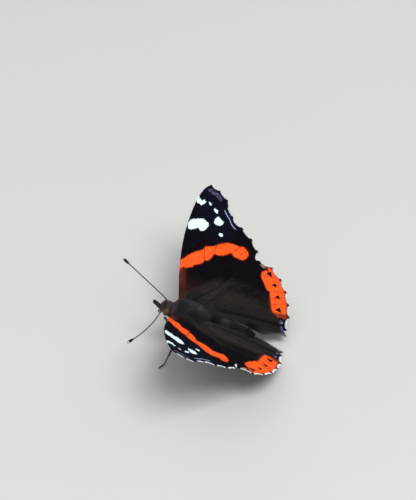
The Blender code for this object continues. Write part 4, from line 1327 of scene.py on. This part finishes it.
def skinTufts(rng, count, low, high, lengthRange, widthRange, riseRange, wander, splay, lowest):
    # roots spread evenly over a stretch of the skin; splay leans the tufts outwards
    tries = count * 3
    y = rng.uniform(low, high, tries)
    angle = rng.uniform(0.0, 2.0 * np.pi, tries)
    halfWidth, top, bottom = skinSection(y)
    girth = halfWidth + 0.5 * (top - bottom)
    keep = (rng.uniform(0.0, girth.max(), tries) < girth) & (np.sin(angle) > lowest)
    y, angle = y[keep][:count], angle[keep][:count]
    points = skinPoint(y, angle)
    normals, back = skinNormal(y, angle)
    clear = ~inEye(points)
    y, angle, points, normals, back = [each[clear] for each in (y, angle, points, normals, back)]
    total = len(points)
    sideways = np.cross(normals, back)
    outwards = np.sign(points[:, :1]) * np.array([[1.0, 0.0, 0.25]])
    lies = back + sideways * rng.normal(0.0, wander, (total, 1)) + splay * outwards
    forward = smoothStep((-5.3 - y) / 0.5)[:, None]
    lies = lies * (1.0 - 1.7 * forward) + normals * 0.5 * forward
    values = {"tone": rng.uniform(0, 1, total), **coatValues(points)}
    return {
        "roots": points, "lies": unit(lies), "normals": normals,
        "lengths": rng.uniform(*lengthRange, total), "widths": rng.uniform(*widthRange, total),
        "rises": rng.uniform(*riseRange, total), "spread": skinSpread(y, angle), "values": values,
    }


def makeCoats():
    rng = np.random.default_rng(5)
    # on the coat, the blue-grey layer is partly hair colour and partly painted sheen on top
    # on the coat, the dark layer is painted shade at the waist, the tail end and the thorax's flanks
    material = makeCoatMaterial("bodyCoat", rgb(0.0145, 0.0130, 0.0132), rgb(0.0375, 0.0330, 0.0340), 0.5,
                                [("brown", rgb(0.0285, 0.0235, 0.0215)), ("head", rgb(0.105, 0.080, 0.085)),
                                 ("paintedShade", rgb(0.0115, 0.0108, 0.0118)), ("blueHairAndSheen", rgb(0.096, 0.092, 0.108)),
                                 ("pale", rgb(0.20, 0.17, 0.14))], 0.65, 0.04)
    for name, spec in coat.items():
        tuftPiece(name, material, "fur", **skinTufts(rng, *spec))
    rim = makeCoatMaterial("eyeRim", rgb(0.06, 0.035, 0.028), rgb(0.26, 0.165, 0.13), 0.4, (), 0.6, 0.04)
    for side, word in sides:
        count = eyes["rimTufts"]
        turn = rng.uniform(-1.7, 1.9, count)
        inner = rng.uniform(0.45, 0.62, count)
        reach = np.sqrt(1.0 - inner ** 2) * 1.03
        ball = np.stack([-side * inner, reach * np.cos(turn), reach * np.sin(turn)], 1)
        mirror = np.array([side, 1.0, 1.0])
        tuftPiece(
            "eyeRim" + word.capitalize(), rim, "fur",
            roots=np.array(eyes["centre"]) * mirror + ball * eyes["radii"], normals=ball,
            lies=np.array([[0.75 * side, 0.0, 0.0]]) + ball * 0.7 + rng.normal(0.0, 0.15, (count, 3)),
            lengths=rng.uniform(0.14, 0.24, count), widths=rng.uniform(0.04, 0.06, count),
            rises=rng.uniform(0.0, 0.2, count), spread=np.column_stack([0.5 + 0.2 * turn, 0.1 + inner]),
            values={"tone": rng.uniform(0, 1, count)})


makeCoats()


# Hair on the wings

wingHair = {
    "width": (0.028, 0.055),
    # count, two corners of the stretch it grows on, lengths, how far its tips may pass the wing's edge
    "hindwingHair": (9000, (-1.2, -17.0), (10.5, 3.5), (1.3, 3.0), 0.3),
    "marginHair": (900, (-1.2, -17.0), (3.0, -10.0), (0.7, 1.4), 1.6),
    "forewingHair": (2600, (-1.8, -0.8), (5.0, 7.5), (0.8, 1.7), 0.3),
}


def makeWingHair(name, kind, chanceOf, lieOf, material):
    # chanceOf says how likely hair is at a spot, and lieOf which way it points
    rng = np.random.default_rng(23)
    shape, heightOf = wings[kind]
    count, low, high, lengthRange, overhang = wingHair[name]
    outline, _, _ = wingOutline(shape)
    band = np.asarray(shape["band"])
    for side, word in sides:
        spots = rng.uniform(low, high, (count * 12, 2))
        spots = spots[depthIn(spots, outline) > 0.05]
        spots = spots[rng.uniform(0, 1, len(spots)) < chanceOf(spots, side)][:count]
        lies = unit(lieOf(spots) + rng.normal(0.0, 0.08, spots.shape))
        lengths = rng.uniform(*lengthRange, len(spots))
        reach = overhang
        if kind == "hindwing":
            reach = np.where(spots[:, 0] < 1.6, max(overhang, 1.3), overhang)
        for _ in range(2):
            tips = spots + lies * lengths[:, None]
            lengths = np.where((depthIn(tips, outline) < -reach) | (depthIn(tips, band) > -0.2),
                               lengths * 0.5, lengths)
        tips = spots + lies * lengths[:, None]
        keep = (depthIn(tips, band) < -0.1) & (depthIn(spots, band) < -0.1)
        spots, tips = spots[keep], tips[keep]
        total = len(spots)
        roots = onWing(kind, side, spots, heightOf(spots) + 0.5 * wing["thickness"] - 0.02)
        ends = onWing(kind, side, tips, heightOf(tips) + 0.5 * wing["thickness"] + 0.05)
        _, _, normal = wingAxes(side)
        span = outline.max(0) - outline.min(0)
        values = {"tone": rng.uniform(0, 1, total), "near": 1.0 - smoothStep((spots[:, 0] + 0.3) / 2.2)}
        if kind == "hindwing":
            values.update(hindTones(0.5 * (spots + tips)))
        tuftPiece(
            name + word.capitalize(), material, kind,
            roots=roots, lies=ends - roots, normals=np.tile(normal, (total, 1)),
            lengths=np.linalg.norm(ends - roots, axis=1),
            widths=rng.uniform(*wingHair["width"], total), rises=rng.uniform(0.02, 0.12, total),
            spread=0.02 + 0.96 * (spots - outline.min(0)) / span.max(), values=values)


def hindChance(spots, _):
    a, b = spots[:, 0], spots[:, 1]
    reach = smoothStep((9.5 - a) / 6.0) * smoothStep((b + 15.8) / 4.0)
    return reach * (1.0 - 0.95 * covered(spots)) * mix(0.4, 1.0, smoothStep((2.5 - a) / 3.0))


def hindLie(spots):
    inwards = smoothStep((0.8 - spots[:, 0]) / 1.6) * smoothStep((-2.0 - spots[:, 1]) / 3.0)
    return unit(spots - np.array([-2.5, 3.5])) + np.stack([-0.75 * inwards, np.full(len(spots), -0.4)], 1)


def rearChance(spots, _):
    inner = curveThrough(hindwing["inner"][:6], 8)
    return (lineDistance(spots, inner) < 0.45) * smoothStep((-10.6 - spots[:, 1]) / 1.5)


def rearLie(spots):
    return np.tile((-0.75, -0.6), (len(spots), 1))


def foreChance(spots, side):
    a, b = spots[:, 0], spots[:, 1]
    near = smoothStep((3.4 - a) / 3.2) ** 1.5
    low = smoothStep((2.3 - b) / 1.0)
    return near * (low if side < 0 else np.maximum(low, smoothStep((4.4 - a) / 2.5)))


def foreLie(spots):
    return unit(spots - np.array([-3.0, 1.0])) + np.array([0.5, -0.35])


hairMaterial = makeCoatMaterial("wingHair", rgb(0.018, 0.0142, 0.0125), rgb(0.0370, 0.0300, 0.0268), 0.42,
                                [("tan", rgb(0.0510, 0.0405, 0.0335)),
                                 ("near", rgb(0.0410, 0.0355, 0.0365)),
                                 # painted shadow beside the abdomen and in the hollow at the inner margin
                                 ("foldShade", rgb(0.0085, 0.0068, 0.0062)),
                                 ("far", rgb(0.0055, 0.0040, 0.0045))],
                                0.65, 0.04)
shoulderMaterial = makeCoatMaterial("shoulderHair", rgb(0.009, 0.008, 0.008), rgb(0.0260, 0.0225, 0.0225),
                                    0.6, [("near", rgb(0.0240, 0.0220, 0.0240))], 0.65, 0.04)
rearMaterial = makeCoatMaterial("marginHair", rgb(0.030, 0.025, 0.022), rgb(0.20, 0.18, 0.165), 0.45, (),
                                0.65, 0.04)
makeWingHair("hindwingHair", "hindwing", hindChance, hindLie, hairMaterial)
makeWingHair("marginHair", "hindwing", rearChance, rearLie, rearMaterial)
makeWingHair("forewingHair", "forewing", foreChance, foreLie, shoulderMaterial)


# Feelers

feeler = {
    "base": (0.52, -5.45, 0.66),
    "headCentre": (0.0, -5.08, -0.50),
    "knees": {"left": (1.52, -5.74, 0.62), "right": (-1.40, -6.08, 0.80)},
    "tips": {"left": (11.43, -10.85, -3.60), "right": (-8.10, -16.00, 2.06)},
    "bows": {"left": (0.0, 0.70, -0.42), "right": (0.0, 0.03, 0.0)},
    "shaft": 0.108,
    "club": 0.29,
    "clubStart": 0.86,
    "segments": 44,
    "columns": 16,
}


def makeFeelers():
    material, tree, shader = newMaterial("feelerScales", 0.6, 0.06)
    grain = noiseOf(tree, objectPlace(tree), 9000.0, 3.0)
    setColor(tree, shader, layered(
        tree, rgb(0.008, 0.0065, 0.006),
        (rangeOf(tree, grain, 0.3, 0.7), rgb(0.020, 0.016, 0.014)),
        (valueAt(tree, "ring", 0.7), rgb(0.15, 0.135, 0.12)),
        (valueAt(tree, "tipWhite"), rgb(0.48, 0.43, 0.34))))
    columns = feeler["columns"]
    setBump(tree, shader, grain, 0.4, 0.02)
    for side, word in sides:
        base = np.array(feeler["base"]) * (side, 1, 1)
        knee = np.array(feeler["knees"][word])
        tip = np.array(feeler["tips"][word])
        bow = np.array(feeler["bows"][word])
        outward = unit(base - np.array(feeler["headCentre"]))
        joints = [base - outward * 0.35, base + outward * 0.15, knee]
        joints += [mix(knee, tip, t) + bow * (4.0 * t * (1.0 - t)) for t in (0.25, 0.5, 0.75, 1.0)]
        path = evenly(curveThrough(joints, 30), 0.045)
        share = np.linspace(0.0, 1.0, len(path))
        cycle = (share * feeler["segments"]) % 1.0
        barrel = 1.0 + 0.10 * np.sin(np.pi * cycle)
        clubbed = smoothStep((share - feeler["clubStart"]) / 0.06)
        radii = mix(feeler["shaft"] * barrel, feeler["club"] * mix(1.0, 0.97, barrel), clubbed)
        rounded = np.sqrt(np.clip(1.0 - ((share - 0.985) / 0.0155) ** 2, 0.02, 1.0))
        radii *= np.where(share > 0.985, rounded, 1.0)
        radii = np.where(share < 0.035, 0.16, radii)
        points, faces = tubeAlong(path, radii, columns)
        ringed = smoothStep((0.26 - np.abs(cycle - 0.5)) / 0.1) * (1.0 - clubbed)
        ringed = ringed * smoothStep((share - 0.1) / 0.1)
        ring = np.r_[np.repeat(ringed, columns), 0.0, 0.0]
        white = np.r_[np.repeat(smoothStep((share - 0.972) / 0.01), columns), 0.0, 1.0]
        addSolid("feeler" + word.capitalize(), "antenna", "antenna_" + word, points, faces, material,
                 {"ring": ring, "tipWhite": white})
    print("feelers made")


makeFeelers()


# Palps and coiled tongue

palp = {
    "path": ((0.38, -5.80, -0.98), (0.36, -6.40, -0.72), (0.33, -6.95, -0.42), (0.31, -7.40, -0.18),
             (0.28, -7.84, -0.02)),
    "radii": (0.32, 0.30, 0.26, 0.21, 0.11),
    "tufts": 1500,
}

tongue = {
    "root": (0.0, -5.62, -1.30),
    "outer": 0.42,
    "inner": 0.09,
    "turns": 2.3,
    "radius": 0.09,
    "centre": (0.0, -6.08, -1.78),
}


def makePalps():
    rng = np.random.default_rng(31)
    material = makeCoatMaterial("palpScales", rgb(0.016, 0.013, 0.013), rgb(0.056, 0.045, 0.047), 0.5,
                                [("pale", rgb(0.24, 0.20, 0.17)), ("black", rgb(0.009, 0.008, 0.009))],
                                0.6, 0.05)
    coreMaterial, tree, shader = newMaterial("palpCore", 0.6, 0.05)
    grain = noiseOf(tree, objectPlace(tree), 6000.0, 3.0)
    setColor(tree, shader, blendColor(tree, grain, rgb(0.010, 0.008, 0.008), rgb(0.035, 0.028, 0.028)))
    for side, word in sides:
        path = curveThrough(np.array(palp["path"]) * (side, 1, 1), 12)
        radii = curveThrough(np.array(palp["radii"])[:, None], 12)[:, 0]
        points, faces = tubeAlong(path, radii * 0.8, 20)
        addSolid("palp" + word.capitalize(), "palp", "palp_" + word, points, faces, coreMaterial)
        count = palp["tufts"]
        share = rng.uniform(0.03, 0.97, count)
        centre, along, radius = alongTube(path, radii, share * (len(path) - 1))
        turn = rng.uniform(0, 2 * np.pi, count)
        first = unit(np.cross(along, (0.0, 0.0, 1.0)))
        second = np.cross(first, along)
        normals = np.cos(turn)[:, None] * first + np.sin(turn)[:, None] * second
        tip = smoothStep((share - 0.72) / 0.12)
        tuftPiece(
            "palpCoat" + word.capitalize(), material, "palp",
            roots=centre + normals * (radius * 0.78)[:, None],
            lies=unit(along + normals * rng.uniform(0.05, 0.35, (count, 1))), normals=normals,
            lengths=rng.uniform(0.18, 0.34, count), widths=rng.uniform(0.03, 0.06, count),
            rises=rng.uniform(0.0, 0.15, count),
            spread=np.column_stack([0.05 + 0.9 * share, 0.05 + 0.9 * turn / 6.3]),
            values={"tone": rng.uniform(0, 1, count), "pale": smoothStep((-normals[:, 2] - 0.25) / 0.6),
                    "black": np.maximum(tip, smoothStep((normals[:, 2] - 0.75) / 0.2))})


def makeTongue():
    material, tree, shader = newMaterial("tongueHorn", 0.4, 0.2)
    ridges = addNode(tree, "ShaderNodeTexWave",
                     {"Vector": objectPlace(tree), "Scale": 3500.0, "Distortion": 1.0}).outputs["Fac"]
    setColor(tree, shader, blendColor(tree, ridges, rgb(0.05, 0.028, 0.016), rgb(0.12, 0.07, 0.04)))
    turns = np.linspace(0.0, 1.0, 150)
    angle = 0.9 - turns * tongue["turns"] * 2.0 * np.pi
    reach = mix(tongue["outer"], tongue["inner"], turns)
    centre = np.array(tongue["centre"])
    spiral = centre + np.stack([np.zeros(len(turns)), reach * np.cos(angle), reach * np.sin(angle)], 1)
    path = evenly(np.vstack([curveThrough([tongue["root"], spiral[0], spiral[6]], 6)[:6], spiral]), 0.06)
    radii = mix(tongue["radius"], 0.06, np.linspace(0.0, 1.0, len(path)))
    points, faces = tubeAlong(path, radii, 14)
    addSolid("coiledTongue", "tongue", "tongue", points, faces, material)
    print("palps and tongue made")


makePalps()
makeTongue()


# Legs

legs = {
    # places are knee, ankle, heel and toe over the floor; path follows a folded leg
    "midleg": {"root": (1.35, 0.2, -2.35),
               "places": ((4.3, -2.2, 5.5), (6.3, -3.6, 1.9), (7.6, -4.6, 0.15), (9.0, -5.5, 0.13))},
    "hindleg": {"root": (1.25, 2.0, -1.95),
                "places": ((3.6, 4.6, 5.0), (5.4, 8.3, 1.9), (6.4, 9.9, 0.15), (7.3, 11.4, 0.13))},
    "foreleg": {"root": (0.80, -2.4, -2.0),
                "path": ((1.18, -3.30, -3.05), (1.00, -4.15, -2.80), (0.72, -4.75, -2.40))},
    "femur": 0.26,           # half thicknesses
    "tibia": 0.19,
    "tarsus": 0.125,
    "spines": 26,
    "spineLength": 0.32,
    "clawLength": 0.28,
    "tufts": 700,
}


def offFloor(point):
    # a point over the floor, before the box is centred, in the animal's frame
    pitch = math.radians(stance["bodyPitch"])
    x, y, z = point[0], point[1], point[2] - stance["hingeHeight"]
    return np.array([x, y * math.cos(pitch) - z * math.sin(pitch),
                     y * math.sin(pitch) + z * math.cos(pitch)])


def spine(base, direction, length, radius):
    # a thin cone
    direction = unit(direction)
    side = unit(np.cross(direction, (0.31, 0.7, 0.64)))
    up = np.cross(direction, side)
    turns = np.arange(5) * 2.0 * np.pi / 5
    ring = base + radius * (np.cos(turns)[:, None] * side + np.sin(turns)[:, None] * up)
    points = np.vstack([ring, base + direction * length, base - direction * radius])
    faces = [(i, (i + 1) % 5, 5) for i in range(5)] + [((i + 1) % 5, i, 6) for i in range(5)]
    return points, faces


def makeLeg(kind, side, word, material, rng):
    # one leg with its spines and claws; gives back its centre line and radii
    spec = legs[kind]
    mirror = np.array([side, 1, 1])
    root = np.array(spec["root"]) * mirror
    if kind == "foreleg":
        stations = [root] + [np.array(p) * mirror for p in spec["path"]]
        path = evenly(curveThrough(stations, 20), 0.06)
        share = np.linspace(0, 1, len(path))
        radii = mix(legs["femur"] * 0.95, legs["tarsus"] * 1.2, smoothStep(share * 1.05))
        shaft = (path, radii)
        kneeShare = 0.35
    else:
        knee, ankle, heel, toe = [offFloor(np.array(p) * mirror) for p in spec["places"]]
        bones = [(root, knee), (knee, ankle), (ankle, heel), (heel, toe)]
        radiiAt = [(legs["femur"] * 1.1, legs["femur"]), (legs["tibia"] * 1.15, legs["tibia"] * 0.85),
                   (legs["tibia"] * 0.85, legs["tibia"] * 0.8), (legs["tarsus"], legs["tarsus"] * 0.8)]
        path = []
        radii = []
        for index, ((start, end), (thickStart, thickEnd)) in enumerate(zip(bones, radiiAt)):
            for t in np.linspace(0, 1, 26, endpoint=index == 3):
                path.append(mix(start, end, t))
                belly = 1.0 + 0.16 * math.sin(math.pi * t) if index < 2 else 1.0
                pinch = 1.0 - 0.25 * math.exp(-(t / 0.04) ** 2) if index in (1, 3) else 1.0
                joint = 1.0 + 0.18 * ((t * 4.0) % 1.0 - 0.4) if index == 3 else 1.0
                radii.append(mix(thickStart, thickEnd, t) * belly * pinch * joint)
        shaft = (np.array(path), np.array(radii))
        kneeShare = 0.3
    parts = [tubeAlong(*shaft, 14)]
    line, thick = shaft
    tangent = unit(np.gradient(line, axis=0))
    for i in range(legs["spines"]):
        at = int(mix(kneeShare, 0.97, (i + 0.5) / legs["spines"]) * (len(line) - 1))
        around = unit(rng.normal(size=3))
        out = unit(around - tangent[at] * (around @ tangent[at]))
        out = unit(out + (0.0, 0.0, 0.35)) if kind != "foreleg" else out
        parts.append(spine(line[at] + out * thick[at] * 0.7, out + tangent[at] * 0.9,
                           legs["spineLength"], 0.035))
    if kind != "foreleg":
        ahead = tangent[-1]
        across = unit(np.cross(ahead, offFloor((0, 0, 9)) - offFloor((0, 0, 8))))
        for lean in (-1, 1):
            parts.append(spine(line[-1] - ahead * 0.05 + across * 0.06 * lean,
                               ahead + across * 0.55 * lean, legs["clawLength"], 0.05))
    points, faces = joined(parts)
    world = onFloor(points)
    world[:, 2] = np.maximum(world[:, 2], 0.0)
    piece = addPiece(kind + word.capitalize(), world, faces, [material])
    faceOutwards(piece)
    settle(piece, "leg", kind + "_" + word)
    return line, thick


def makeLegs():
    rng = np.random.default_rng(47)
    material, tree, shader = newMaterial("legScales", 0.55, 0.3)
    place = objectPlace(tree)
    grain = noiseOf(tree, place, 7000.0, 3.0)
    broad = noiseOf(tree, place, 900.0, 2.0)
    setColor(tree, shader, layered(
        tree, rgb(0.06, 0.045, 0.034),
        (rangeOf(tree, grain, 0.3, 0.7), rgb(0.17, 0.135, 0.10)),
        (rangeOf(tree, broad, 0.5, 0.7, 0.0, 0.6), rgb(0.045, 0.034, 0.028))))
    setBump(tree, shader, grain, 0.6, 0.03)
    coatMaterial = makeCoatMaterial("legCoat", rgb(0.03, 0.024, 0.02), rgb(0.15, 0.125, 0.10), 0.5)
    count = legs["tufts"]
    for side, word in sides:
        for kind in ("midleg", "hindleg", "foreleg"):
            line, thick = makeLeg(kind, side, word, material, rng)
            reach, longer = (0.95, 0.42) if kind == "foreleg" else (0.55, 0.26)
            at = rng.uniform(0.02, reach, count) * (len(line) - 1)
            centre, along, radius = alongTube(line, thick, at)
            sprout = unit(rng.normal(size=(count, 3)))
            normals = unit(sprout - along * (sprout * along).sum(1, keepdims=True))
            tuftPiece(
                kind + "Coat" + word.capitalize(), coatMaterial, "leg",
                roots=centre + normals * (radius * 0.95)[:, None],
                lies=unit(along + normals * rng.uniform(0.05, 0.4, (count, 1))), normals=normals,
                lengths=rng.uniform(0.6, 1.2, count) * longer, widths=rng.uniform(0.03, 0.06, count),
                rises=rng.uniform(0.0, 0.2, count),
                spread=np.column_stack([0.05 + 0.9 * at / len(line), rng.uniform(0.05, 0.95, count)]),
                values={"tone": rng.uniform(0, 1, count)})
    print("legs made")


makeLegs()
